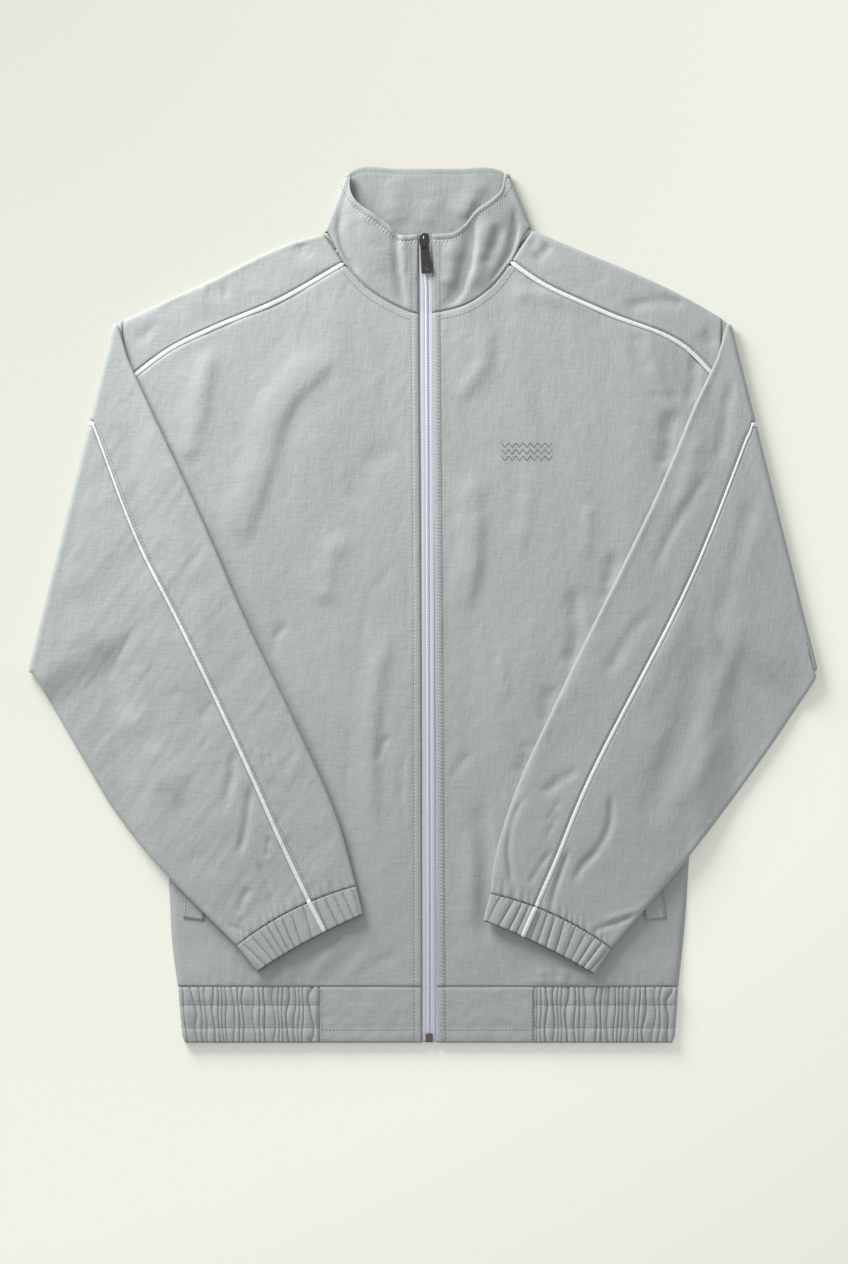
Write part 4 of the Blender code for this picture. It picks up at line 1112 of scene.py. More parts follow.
    def build_pipings(self, finishes: Cloths, yoke: np.ndarray, strip: np.ndarray, under: np.ndarray) -> list:
        """Cords between strip and panels, each from the neck seam to the cuff seam.

        Args:
            finishes: All finishes.
            yoke: The yoke's grid.
            strip: The sleeve strip's grid.
            under: The sleeve's other grid.

        Returns:
            The built front and back pipings.
        """
        half = self.half
        below = self.stations(half.front_piping, -PIPING_SLOT)
        below = np.column_stack([below, front_mid(half, below[:, 0], below[:, 1])])
        behind = self.stations(half.back_piping, -PIPING_SLOT)
        behind = np.column_stack([behind, np.full(len(behind), BACK_MID)])
        made = []
        for name, first, second in (
            ("front", (below, yoke[:, 0]), (under[:, -1], strip[:, 0])),
            ("back", (yoke[:, -1], behind), (strip[:, -1], under[:, 0])),
        ):
            one = np.concatenate([first[0][:-1], second[0]])
            two = np.concatenate([first[1][:-1], second[1]])
            across = two - one
            across /= np.linalg.norm(across, axis=1, keepdims=True)
            centres = (one + two) / 2
            run = lengths(centres)
            ends = 0.4 + 0.6 * np.sqrt(np.clip(np.minimum(run, run[-1] - run) / 0.8, 0, 1))
            points, faces = tube(centres, across, PIPING_HALF * ends, PIPING_THICK * ends)
            points[:, 2] = np.maximum(points[:, 2], 0.0)
            node = f"piping_{name}_{half.name}"
            made.append(Piece(f"cord_{node}", points, faces, finishes.piping, (node,)).build())
        return made


@dataclass
class Back:
    """Back panel, flat on the surface."""

    columns: int = 110
    rows: int = 120

    def build(self, finish: Finish) -> Piece:
        """A patch between the back pipings, neck, armholes, side seams and hem seam.

        Args:
            finish: Its material and slot.

        Returns:
            The built piece.
        """
        edges = []
        up = np.linspace(0, 1, self.rows)
        for half in HALVES:
            piping = aside(curved(half.back_piping), -half.sign * PIPING_SLOT)
            edge = np.concatenate([curved(half.side)[::-1], piping[-1:]])
            edge[:, 0] -= half.sign * np.where(edge[:, 1] < half.side[0][1] + 5, 2 * WALL + SEAM, JOIN / 2)
            edge[0, 1] = HEM_SEAM + JOIN / 2
            edges.append(along(edge, up))
        left = aside(curved(LEFT.back_piping), PIPING_SLOT)[::-1]
        right = aside(curved(RIGHT.back_piping), -PIPING_SLOT)
        neck = aside(curved(BACK_NECK), -JOIN / 2)
        top = np.concatenate([left, neck[6:-6], right])
        top[0], top[-1] = edges[0][-1], edges[1][-1]
        across = np.linspace(0, 1, self.columns)
        x = top[0, 0] + across * (top[-1, 0] - top[0, 0])
        top = np.column_stack([x, np.interp(x, top[:, 0], top[:, 1])])
        low = edges[0][0] + across[:, None] * (edges[1][0] - edges[0][0])
        plan = patch(edges[0], edges[1], low, top, (across, up))
        grid = np.dstack([plan, np.full(plan.shape[:2], BACK_MID)])
        piece = cloth("shell_back", grid, finish, ("back",))
        return piece


def pleats(phase: np.ndarray, sharp: float = 0.55) -> np.ndarray:
    """Rounded crests with narrow valleys between, from -1 to 1, one for each pi of phase."""
    return 2.0 * np.abs(np.sin(phase)) ** sharp - 1.0


@dataclass
class Cuff:
    """Gathered cuff: a closed band from the cuff seam to the cuff's end."""

    half: Half
    columns: int = 132
    roll_columns: int = 9
    rows: int = 26
    gathers: float = 12.5  # folds across it
    height: float = 1.25  # of a fold
    under_height: float = 0.45  # of a fold on the lower layer
    end_dim: float = 0.7  # share of light lost in the cuff's mouth

    def frame(self, v: np.ndarray) -> tuple:
        """The cuff's section at shares of its height.

        Args:
            v: The shares, 0 at the seam.

        Returns:
            Its two ends, the direction between them, the one up the sleeve, and its width.
        """
        seam_top, seam_under, end_top, end_under = (np.asarray(p, float) for p in self.half.cuff)
        top = seam_top + (end_top - seam_top) * v[:, None]
        under = seam_under + (end_under - seam_under) * v[:, None]
        size = np.linalg.norm(under - top, axis=1)
        run = (under - top) / size[:, None]
        up = np.stack([-run[:, 1], run[:, 0]], axis=-1) * self.half.sign
        close = v < TINY
        top[close] -= up[close] * JOIN * 4
        under[close] -= up[close] * JOIN * 4
        return top, under, run, up, size

    def gather(self, share: np.ndarray, v: np.ndarray, seed: float) -> np.ndarray:
        """Uneven folds that run from the seam to the end, with more small ones at the seam.

        Args:
            share: Places across the cuff.
            v: Places down it.
            seed: A number that makes each layer its own.

        Returns:
            A height from about -1 to 1 at each point.
        """
        drift = 0.5 * np.sin(4.0 * share + seed) + 0.32 * np.sin(11.0 * share + 2.0 * seed)
        sway = 0.55 * (v - 0.5) * np.sin(7.0 * share + 3.0 * seed)
        main = pleats(np.pi * (self.gathers * share + drift + sway))
        depth = 0.72 + 0.28 * np.sin(17.0 * share + seed)
        small = pleats(np.pi * (2.6 * self.gathers * share + 2 * drift), 0.8)
        seam = ease(1.0 - v / 0.2)
        fade = 0.8 + 0.2 * np.sin(np.pi * v)
        return (main * depth * (1.0 - 0.5 * seam) + 0.35 * small * seam) * fade

    def build(self, finish: Finish) -> Piece:
        """The band's mesh: upper layer, rolled edge, lower layer, rolled edge.

        Args:
            finish: Its material and slot.

        Returns:
            The built piece.
        """
        half = self.half
        v = np.linspace(0, 1, self.rows)
        top, under, run, up, size = self.frame(v)
        bow = (CUFF_SEAM_BOW + (CUFF_END_BOW - CUFF_SEAM_BOW) * v) * 4
        radius = CUFF_GAP / 2
        blocks = []
        for layer in (1, 0):
            share = np.linspace(0, 1, self.columns)
            share = share if layer else share[::-1]
            reach = (radius + WALL / 2 + (size[:, None] - 2 * radius - WALL) * share) / size[:, None]
            plan = top[:, None] + run[:, None] * (size[:, None] * reach)[..., None]
            plan = plan + up[:, None] * (bow[:, None] * reach * (1.0 - reach))[..., None]
            rest = support(half, plan[..., 0], plan[..., 1]) + SLEEVE_LIFT + SEAM
            wave = self.gather(share[None], v[:, None], 1.3 + half.sign + 2.1 * layer)
            wave = wave * ease(share / 0.03) * ease((1.0 - share) / 0.03)
            push = (self.height if layer else self.under_height) * wave
            sideways = 0.5 * np.roll(wave, 3, axis=1)[..., None] * run[:, None] * layer
            blocks.append(np.dstack([plan + sideways, rest + CUFF_GAP * layer + push]))
            sense = 1 if layer else -1
            edge = under if layer else top
            angle = np.radians(np.linspace(75.0, -75.0, self.roll_columns))
            inset = radius * (1 - np.cos(angle)) + WALL / 2
            plan = edge[:, None] - sense * run[:, None] * inset[None, :, None]
            rest = support(half, plan[..., 0], plan[..., 1]) + SLEEVE_LIFT + SEAM
            blocks.append(np.dstack([plan, rest + radius * (1 + sense * np.sin(angle))]))
        grid = np.concatenate(blocks, axis=1)
        name = f"cuff_{half.name}"
        dim = self.end_dim * ease((v[:, None] - 0.93) / 0.07)
        piece = cloth(f"shell_{name}", grid, finish, (name,), wrap=True, dim=dim, valleys=GATHER_DIMNESS)
        return piece

    def build_piping(self, finish: Finish) -> Piece:
        """The end of the back piping, sewn over the gathers.

        Args:
            finish: Its material and slot.

        Returns:
            The built piece.
        """
        count, over = 24, 1.5  # points of its line, lift over the cloth's top face
        start, end = (np.asarray(p, float) for p in self.half.cuff_piping)
        plan = start + (end - start) * np.linspace(-0.1, 0.985, count)[:, None]
        lift = SLEEVE_LIFT + CUFF_GAP + SEAM + WALL / 2 + SEAM + over
        centres = np.column_stack([plan, support(self.half, plan[:, 0], plan[:, 1]) + lift])
        across = np.zeros_like(centres)
        across[:, :2] = self.frame(np.array([0.5]))[2][0]
        ends = np.sqrt(np.clip(np.minimum(np.arange(count), np.arange(count)[::-1]) / 1.5, 0.12, 1.0))
        points, faces = tube(centres, across, PIPING_HALF * (0.6 + 0.4 * ends), 0.9 * ends)
        name = f"cuff_piping_{self.half.name}"
        return Piece(f"cord_{name}", points, faces, finish, (name,)).build()


@dataclass
class Collar:
    """Stand-up collar, laid down: its back half flat on the surface, its front half over the neck."""

    front_columns: int = 62
    side_columns: int = 13
    back_columns: int = 90
    rows: int = 44
    stitch_down: float = 4.6  # stitch row below the top edge
    tight: float = 0.4  # how much thinner the side fold is at the top edge
    back_dim: float = 0.16  # share of light lost on the back half,
    front_dim: float = 0.06  # and on the front half
    deepest: float = 2.4  # limit that the creases' heights approach

    def fold_line(self, half: Half, v: np.ndarray) -> tuple:
        """The side fold at shares of the collar's height.

        Args:
            half: Which side.
            v: The shares, 0 at the neck seam.

        Returns:
            Its plan points, the height of the collar's front there, and of the fold's upper layer.
        """
        low = np.asarray(half.shoulder[0]) + (half.sign * -0.4, 0.8)
        line = low + (np.asarray(half.collar_top[-1]) - low) * v[:, None]
        level = collar_level(v)
        level[0] = front_mid(half, low[0], low[1])
        return line, level, BACK_MID + (level - BACK_MID) * (1.0 - self.tight * v**2)

    def front(self, half: Half, v: np.ndarray) -> np.ndarray:
        """The half's front, from the zip to where its side fold begins.

        Args:
            half: Which side.
            v: Shares of the collar's height.

        Returns:
            A grid of points.
        """
        shares = np.linspace(0, 1, self.front_columns)
        neck = curved(half.neck)
        neck = np.concatenate([neck, along([neck[-1], half.shoulder[0]], [0.3, 0.6, 1.0])])
        low = along(aside(neck, half.sign * JOIN), shares)
        high = along(curved(half.collar_top, 8), shares)
        end, level, side_level = self.fold_line(half, v)
        end[:, 0] -= half.sign * ((side_level - BACK_MID) / 2 + WALL / 2)
        plan = low[None] + (high - low)[None] * v[:, None, None]
        drawn = ease((shares - 0.7) / 0.3)[None, :, None]
        plan = plan + drawn * (end - plan[:, -1])[:, None]
        z = level[:, None] + (side_level - level)[:, None] * drawn[..., 0]
        low_row = front_mid(half, plan[0, :, 0], plan[0, :, 1])
        z += (low_row - level[0])[None] * (1.0 - v[:, None]) ** 3
        faded = ease(v[:, None] / 0.1) * ease((1.0 - shares) / 0.14)
        z += self.folds(half, plan[..., 0], plan[..., 1]) * faded
        return np.dstack([plan, z])

    def folds(self, half: Half, x: np.ndarray, y: np.ndarray) -> np.ndarray:
        """Creases of the collar's front."""
        made = fold(COLLAR_CREASES[half.name], x, y) + 0.25 * noise(x, y, 71 + half.sign, (9.0, 12.0))
        return self.deepest * np.tanh(made / self.deepest)

    def side(self, half: Half, v: np.ndarray) -> np.ndarray:
        """The rounded side fold, from the upper layer to the lower one.

        Args:
            half: Which side.
            v: Shares of the collar's height.

        Returns:
            A grid of points.
        """
        end, _, side_level = self.fold_line(half, v)
        radius = ((side_level - BACK_MID) / 2)[:, None]
        angle = np.radians(np.linspace(90.0, -90.0, self.side_columns + 2)[1:-1])[None]
        x = end[:, :1] - half.sign * (radius * (1.0 - np.cos(angle)) + WALL / 2)
        z = BACK_MID + radius * (1.0 + np.sin(angle))
        return np.dstack([x, np.broadcast_to(end[:, 1:], x.shape), z])

    def build(self, finish: Finish) -> Piece:
        """One band: left front, side, back, side, right front, with a raised hem along its top edge.

        Args:
            finish: Its material and slot.

        Returns:
            The built piece.
        """
        near_top = 14  # rows in its top hem
        v = np.concatenate([np.linspace(0, 0.86, self.rows - near_top), np.linspace(0.88, 1.0, near_top)])
        shares = np.linspace(0.045, 0.955, self.back_columns)
        back_low = along(aside(curved(BACK_NECK), 1.2), shares)
        back_high = along(curved(COLLAR_BACK_TOP), shares)
        plan = back_low[None] + (back_high - back_low)[None] * v[:, None, None]
        lifted = fold(COLLAR_BACK_CREASES, plan[..., 0], plan[..., 1])
        lifted += 0.7 + 0.4 * noise(plan[..., 0] - 0.3 * plan[..., 1], plan[..., 1], 77, (14.0, 60.0))
        lifted *= ease(v / 0.12)[:, None] * ease((1.0 - v) / 0.12)[:, None]
        lifted *= np.sin(np.pi * np.linspace(0, 1, self.back_columns)) ** 0.5
        back = np.dstack([plan, BACK_MID + lifted])
        left, right = (np.concatenate([self.front(half, v), self.side(half, v)], axis=1) for half in HALVES)
        grid = np.concatenate([left, back, right[:, ::-1]], axis=1)
        tall = np.linalg.norm(grid[-1] - grid[0], axis=1)
        down = (1.0 - v)[:, None] * tall[None]
        band = 0.35 * bell(down - 2.2, 1.6) - 0.3 * bell(down - self.stitch_down, 0.9)
        normals = grid_normals(grid)
        sense = 1.0 if normals[len(v) // 2, self.front_columns // 2, 2] > 0 else -1.0
        flat = np.abs(np.arange(grid.shape[1]) - grid.shape[1] / 2) < self.back_columns / 2 + 4
        band = band * np.where(flat, -0.4, 1.0)[None]
        grid = grid + sense * normals * band[..., None]
        pull = np.where(flat, 0.5, 0.7)[None] + np.zeros_like(down)
        seam = np.dstack([self.stitch_down - down, np.broadcast_to(lengths(grid[-1]), down.shape), pull])
        dim = np.where(flat, self.back_dim, self.front_dim)[None]
        piece = cloth("shell_collar", grid, finish, ("collar",), seam=seam, dim=dim)
        return piece


@dataclass
class Hem:
    """Waist band: ungathered beside the zip, gathered on elastic from join to join round the back."""

    rows: int = 25
    plain_columns: int = 72
    pitch: float = 5.2  # of the front's gathers
    pitch_back: float = 5.35
    height: float = 1.2  # of a gather
    stitch_rows: tuple = (-339.2, -358.7)

    def levels(self) -> np.ndarray:
        """Places of the rows, evenly from the seam to the lower edge."""
        return np.linspace(HEM_SEAM - JOIN / 2, HEM_BOTTOM, self.rows)

    def pinch(self, y: np.ndarray, rows: tuple) -> np.ndarray:
        """1 at a stitch row, 0 away from it."""
        return np.max([bell(y - at, 1.5) for at in rows], axis=0)

    def build_plain(self, half: Half, finish: Finish) -> Piece:
        """Ungathered band from the zip to the join.

        Args:
            half: Which side.
            finish: Its material and slot.

        Returns:
            The built piece.
        """
        y = self.levels()[:, None]
        start = at_height(half.zip_edge, y)
        x = start + (half.join - half.sign * JOIN / 2 - start) * np.linspace(0, 1, self.plain_columns)
        y = np.broadcast_to(y, x.shape)
        from_zip = np.abs(x - start)
        z = HEM_MID - 0.1 + zip_edge_shape(from_zip, 0.35) - 0.3 * self.pinch(y, self.stitch_rows[1:])
        z += 0.3 * noise(x, y, 81 + half.sign, (9.0, 7.0)) * ease((HEM_SEAM - y) / 3.0)
        z += 0.3 * bell(y - HEM_BOTTOM - 5.5, 4.0)
        seam = np.dstack([from_zip - STITCH_IN, y, np.full(x.shape, 0.8 if half is RIGHT else 0.3)])
        name = f"hem_plain_{half.name}"
        piece = cloth(f"band_{name}", np.dstack([x, y, z]), finish, (name,), seam=seam)
        return piece

    def build_elastic(self, finish: Finish) -> Piece:
        """Gathered band: left front, left edge, back, right edge, right front.

        Args:
            finish: Its material and slot.

        Returns:
            The built piece.
        """
        radius, level = (HEM_FRONT_MID - HEM_BACK_MID) / 2, (HEM_FRONT_MID + HEM_BACK_MID) / 2
        left, right = LEFT.band[0] + WALL / 2 + radius, RIGHT.band[0] - WALL / 2 - radius
        one = np.linspace(LEFT.join - 2 * JOIN, left, 190)
        turn = np.radians(np.linspace(90.0, -90.0, 11)[1:-1])
        two = np.linspace(left, right, 340)
        three = np.linspace(right, RIGHT.join + 2 * JOIN, 200)
        out = radius * np.cos(turn)
        x = np.concatenate([one, left - out, two, right + out[::-1], three])
        z = np.concatenate([
            np.full(len(one), HEM_FRONT_MID), level + radius * np.sin(turn), np.full(len(two), HEM_BACK_MID),
            level + radius * np.sin(turn[::-1]), np.full(len(three), HEM_FRONT_MID),
        ])
        out_x = np.concatenate([one * 0.0, -np.cos(turn), two * 0.0, np.cos(turn[::-1]), three * 0.0])
        out_z = np.concatenate([
            np.ones(len(one)), np.sin(turn), -np.ones(len(two)), np.sin(turn[::-1]), np.ones(len(three)),
        ])
        y = self.levels()[:, None]
        drift = 0.4 * np.sin(x * 0.11) + 0.25 * np.sin(x * 0.37 + 1.0)
        sway = 0.45 * np.sin(y * 0.16 + x[None] * 0.21) + 0.5 * noise(x[None], y, 84, (7.0, 14.0))
        front = pleats(np.pi * (x / self.pitch + drift)[None] + sway) * (0.75 + 0.25 * np.sin(x * 0.31))[None]
        behind = pleats(np.pi * x / self.pitch_back, 0.8)[None] * np.ones_like(y)
        wave = np.where(out_z[None] > 0.5, front * self.height, behind * 0.4) * (np.abs(out_x) < 0.05)[None]
        edge = np.minimum(np.abs(x - LEFT.join), np.abs(x - RIGHT.join))
        wave = wave * ease((edge - 1.0) / 4.0)[None]
        stitched = self.pinch(y, self.stitch_rows)
        puff = 0.35 * np.sin(np.pi * (y - HEM_SEAM) / 16.0) ** 2 - 0.45 * stitched
        wave = wave * (1.0 - 0.45 * stitched) + np.where(out_z > 0.5, 1.0, -0.3)[None] * puff
        share = np.clip((y - HEM_SEAM) / (HEM_BOTTOM - HEM_SEAM), 0, 1)
        bands = [np.interp(share, [0.0, 0.48, 1.0], np.abs(half.band)) / abs(half.band[0]) for half in HALVES]
        scale = np.where(x[None] < 0, bands[0], bands[1])
        scale = 1.0 + (scale - 1.0) * ease((np.abs(x)[None] - 100.0) / 100.0)
        round_off = 1.2 * (1.0 - np.sqrt(np.clip(1.0 - (share * 6.0 - 5.0).clip(0, 1) ** 2, 0, 1)))
        gx = x[None] * scale + out_x[None] * (wave - 2.5 * round_off)
        grid = np.dstack([gx, np.broadcast_to(y, gx.shape), z[None] + out_z[None] * wave])
        piece = cloth("band_hem_elastic", grid, finish, ("hem_elastic",), valleys=GATHER_DIMNESS)
        return piece


@dataclass
class Welt:
    """Pocket welt in the side of a front, made from the front's surface, moved out."""

    half: Half
    front: Front

    def build(self, finish: Finish) -> Piece:
        """A narrow strip with thinned borders.

        Args:
            finish: Its material and slot.

        Returns:
            The built piece.
        """
        low_out, low_in, high_out, high_in = (np.asarray(p, float) for p in self.half.welt)
        v, u = np.linspace(0, 1, 76)[:, None, None], np.linspace(0, 1, 14)[None, :, None]
        plan = (low_out + (low_in - low_out) * u) * (1 - v) + (high_out + (high_in - high_out) * u) * v
        x, y = plan[..., 0], plan[..., 1]
        grid = np.dstack([plan, self.front.height(x, y)])
        normals = grid_normals(grid)
        grid = grid + normals * np.sign(normals[..., 2:]) * (WALL / 2 + SEAM + 0.5)
        name = f"welt_{self.half.name}"
        piece = cloth(f"strip_{name}", grid, finish, (name,), thick=1.0)
        return piece


def placed(points: Line, tilt: float, turn: float, origin: Line) -> np.ndarray:
    """Points turned and moved.

    Args:
        points: The points.
        tilt: Degrees about x, taken second.
        turn: Degrees about z, taken first.
        origin: Where their own origin goes.

    Returns:
        The placed points.
    """
    ct, st = np.cos(np.radians(tilt)), np.sin(np.radians(tilt))
    cz, sz = np.cos(np.radians(turn)), np.sin(np.radians(turn))
    about_z = np.array([[cz, -sz, 0], [sz, cz, 0], [0, 0, 1]])
    about_x = np.array([[1, 0, 0], [0, ct, -st], [0, st, ct]])
    return np.asarray(points) @ about_z.T @ about_x.T + np.asarray(origin)


def merged(parts: list) -> tuple:
    """Several bodies as one mesh.

    Args:
        parts: Points and triangles of each.

    Returns:
        Points and triangles of all.
    """
    offsets = np.cumsum([0] + [len(points) for points, _ in parts[:-1]])
    faces = [faces + offset for (_, faces), offset in zip(parts, offsets)]
    return np.concatenate([points for points, _ in parts]), np.concatenate(faces)


def ring(plan: np.ndarray, level: float) -> np.ndarray:
    """A plan outline at a height."""
    return np.column_stack([plan, np.full(len(plan), level)])


def box(left: float, right: float, low: float, high: float) -> list:
    """Corners of an upright oblong."""
    return [(left, high), (right, high), (right, low), (left, low)]


@dataclass
class Zip:
    """Tapes, coil, slider, pull and bottom stop of the front zip."""

    coil_pitch: float = 1.27
    coil_half: float = 0.95
    coil_thick: float = 0.52
    coil_lean: float = 0.35
    rise: float = 0.7  # of the tapes where they show between the cloth edges
    slot_half: float = 5.9
    slider_at: tuple = (1.1, 309.3)
    tilt: float = 4.2  # degrees
    slider_long: float = 13.4
    slider_wide: float = 8.8
    plate: float = 1.4
    bridge_wide: float = 2.4
    bridge_hole: float = 2.5
    bridge_bar: float = 1.1
    pull_turn: float = 6.0  # degrees
    pull_thick: float = 1.3
    pull_long: float = 25.0
    pull_top: float = 6.6
    pull_end: float = 9.8
    pull_hole: float = 1.25
    stop_at: tuple = (5.2, -367.6)
    stop_half: tuple = (3.0, 3.9)

    def tape_top(self, y: Number) -> np.ndarray:
        """Height of the tapes' top face."""
        return zip_level(y) - TAPE_SINK + TAPE_THICK / 2

    def build_tape(self, half: Half, finish: Finish) -> Piece:
        """A tape from the hem to the collar's top edge, with a groove beside its coil.

        Args:
            half: Which side.
            finish: Its material and slot.

        Returns:
            The built piece.
        """
        y = np.linspace(HEM_BOTTOM + 0.5, COLLAR_Y - 4.5, 300)
        reach = np.concatenate([np.linspace(0.2, 6.4, 17), np.linspace(7.4, TAPE, 6)])
        x = at_height(ZIP_LINE, y)[:, None] + half.sign * reach[None]
        shown = self.rise * ease((self.slot_half - reach) / 1.2)
        groove = 0.12 * bell(reach - 0.5, 0.7) - 0.5 * bell(reach - 1.75, 0.4)
        z = zip_level(y)[:, None] - TAPE_SINK + shown + groove
        grid = np.dstack([x, np.broadcast_to(y[:, None], x.shape), z])
        name = f"zip_tape_{half.name}"
        rim = Rim(start=False, end=False)
        piece = cloth(f"strip_{name}", grid, finish, (name,), thick=TAPE_THICK, rim=rim)
        return piece

    def build_coil(self, finish: Finish) -> Piece:
        """The row of coil turns where the tapes meet: short rounded bars, leaning by turns.

        Args:
            finish: Its material and slot.

        Returns:
            The built piece.
        """
        y = np.arange(HEM_BOTTOM + 9.0, COLLAR_Y - 14.0, self.coil_pitch)
        centres = np.column_stack([at_height(ZIP_LINE, y), y, self.tape_top(y) + self.rise])
        lean = self.coil_lean * np.where(np.arange(len(y)) % 2, 1.0, -1.0)
        ahead = np.column_stack([np.ones(len(y)), lean, np.zeros(len(y))])
        up = np.tile([0.0, 0.0, 1.0], (len(y), 1))
        points, faces = bars(centres, ahead, up, 2 * self.coil_half, self.coil_thick, sides=6)
        return Piece("coil", points, faces, finish).build()

    def origin(self) -> tuple:
        """Middle of the slider, on the top face of the tapes."""
        return (*self.slider_at, float(self.tape_top(self.slider_at[1])))

    def oval(self, half_long: float, half_wide: float, count: int = 40) -> np.ndarray:
        """Plan outline of a slider plate: a rounded oblong, narrower at the lower end.

        Args:
            half_long: Half of its length.
            half_wide: Half of its width.
            count: Points.

        Returns:
            The outline's points.
        """
        turn = np.linspace(0, 2 * np.pi, count, endpoint=False)
        x, y = (np.sign(part) * np.abs(part) ** 0.55 for part in (np.cos(turn), np.sin(turn)))
        return np.column_stack([half_wide * x * (1.0 - 0.22 * np.clip(-y, 0, 1)), half_long * y])

    def build_slider(self, finish: Finish) -> Piece:
        """Two rounded plates joined by a post at the top end, and an arched bridge.

        Args:
            finish: Its material and slot.

        Returns:
            The built piece.
        """
        half_long, half_wide = self.slider_long / 2, self.slider_wide / 2
        parts = []
        top = SEAM + self.plate
        under = -1.0 - SEAM
        bevel = ((0.45, 0.0), (0.12, 0.12), (0.0, 0.35), (0.0, 0.65), (0.15, 0.86), (0.5, 0.97), (1.2, 1.0))
        for low, high, shorter in ((SEAM, top, 0.0), (under - 1.1, under, 0.75)):
            rings = []
            for inset, share in bevel:
                plan = self.oval(half_long - shorter - inset, half_wide - inset) - (0.0, shorter * 0.9)
                rings.append(ring(plan, low + (high - low) * share))
            parts.append(loft(np.array(rings)))
        post = self.oval(1.4, half_wide - 1.0, 24) + (0.0, half_long - 2.0)
        parts.append(loft(np.array([ring(post, under - 0.6), ring(post, SEAM + 0.5)])))
        reach, roof = half_long - 1.3, top + self.bridge_hole + self.bridge_bar / 2
        arch = curved([
            (0, -reach, top - 0.4), (0, -reach + 0.1, roof - 1.2), (0, -reach + 1.5, roof),
            (0, 0, roof + 0.1),
            (0, reach - 3.0, roof - 0.2), (0, reach - 1.2, roof - 1.4), (0, reach - 1.0, top - 0.4),
        ], 6)
        across = np.tile([1.0, 0.0, 0.0], (len(arch), 1))
        parts.append(tube(arch, across, self.bridge_wide / 2, self.bridge_bar / 2, 14))
        points, faces = merged(parts)
        points = placed(points, self.tilt, 0, self.origin())
        return Piece("slider", points, faces, finish, ("zip_slider",)).build()

    def build_pull(self, finish: Finish) -> Piece:
        """A tapered tab with softened edges, a slot round the bridge and a small hole at its end.

        Args:
            finish: Its material and slot.

        Returns:
            The built piece.
        """
        bar, slot, soft = 1.3, 3.4, 0.28
        slot_half = self.bridge_wide / 2 + 0.75
        top_half, end_half = self.pull_top / 2, self.pull_end / 2
        outer = rounded([
            (-top_half, bar / 2), (top_half, bar / 2),
            (end_half, -self.pull_long), (-end_half, -self.pull_long),
        ], 1.7)
        gap = rounded(box(-slot_half, slot_half, -bar / 2 - slot, -bar / 2), 0.6)
        turn = np.linspace(0, 2 * np.pi, 20, endpoint=False)
        hole = np.column_stack([np.cos(turn), np.sin(turn)]) * self.pull_hole + (0.0, -self.pull_long + 4.2)
        flat = bpy.data.curves.new("pull_outline", "CURVE")
        flat.dimensions, flat.fill_mode = "2D", "BOTH"
        flat.extrude, flat.bevel_depth = self.pull_thick / 2 - soft, soft
        flat.bevel_resolution, flat.offset = 2, -soft
        for line in (outer, gap, hole):
            spline = flat.splines.new("POLY")
            spline.points.add(len(line) - 1)
            spline.points.foreach_set("co", np.column_stack([ring(line, 0.0), np.ones(len(line))]).ravel())
            spline.use_cyclic_u = True
        holder = bpy.data.objects.new("pull_outline", flat)
        bpy.context.scene.collection.objects.link(holder)
        graph = bpy.context.evaluated_depsgraph_get()
        mesh = bpy.data.meshes.new_from_object(holder.evaluated_get(graph))
        bpy.data.objects.remove(holder, do_unlink=True)
        points, faces = welded(mesh)
        at = placed([(0.0, -2.6, SEAM + self.plate + self.bridge_hole / 2)], self.tilt, 0, self.origin())[0]
        points = placed(points, self.tilt, self.pull_turn, at)
        return Piece("pull_tab", points, faces, finish, ("zip_pull",), body=Body.PULL, smooth=False).build()

    def build_stop(self, finish: Finish) -> Piece:
        """The metal box at the lower end, with softened edges and a shallow dent across.

        Args:
            finish: Its material and slot.

        Returns:
            The built piece.
        """
        z = float(self.tape_top(self.stop_at[1])) + SEAM
        rings = []
        for inset, level in ((0.3, 0.0), (0.0, 0.3), (0.0, 1.1), (0.2, 1.45), (0.7, 1.6), (1.5, 1.52)):
            wide, tall = (size - inset for size in self.stop_half)
            rings.append(ring(rounded(box(-wide, wide, -tall, tall), 0.8) + self.stop_at, z + level))
        points, faces = loft(np.array(rings))
        return Piece("stop", points, faces, finish, ("zip_stop",)).build()


def rounded(corners: Line, radius: float, steps: int = 6) -> np.ndarray:
    """A closed outline with its corners rounded off by short curves.

    Args:
        corners: The outline's corners.
        radius: How far from a corner its curve starts.
        steps: Points of a curve.

    Returns:
        The outline's points.
    """
    corners = np.asarray(corners, float)
    t = np.linspace(0, 1, steps)[:, None]
    made = []
    for k, corner in enumerate(corners):
        before, after = corners[k - 1] - corner, corners[(k + 1) % len(corners)] - corner
        one = corner + before / np.linalg.norm(before) * radius
        two = corner + after / np.linalg.norm(after) * radius
        made.append((1 - t) ** 2 * one + 2 * t * (1 - t) * corner + t**2 * two)
    return np.concatenate(made)


def welded(mesh: bpy.types.Mesh) -> tuple:
    """Takes a mesh apart and removes it.

    Args:
        mesh: The mesh, in mm.

    Returns:
        Its points, those that lie together made one, and its triangles.
    """
    mesh.calc_loop_triangles()
    points = np.zeros(len(mesh.vertices) * 3)
    mesh.vertices.foreach_get("co", points)
    faces = np.zeros(len(mesh.loop_triangles) * 3, np.int32)
    mesh.loop_triangles.foreach_get("vertices", faces)
    bpy.data.meshes.remove(mesh)
    kept, place = np.unique(np.round(points.reshape(-1, 3), 4), axis=0, return_inverse=True)
    faces = place.ravel()[faces].reshape(-1, 3)
    whole = (faces[:, 0] != faces[:, 1]) & (faces[:, 1] != faces[:, 2]) & (faces[:, 0] != faces[:, 2])
    return kept, faces[whole]


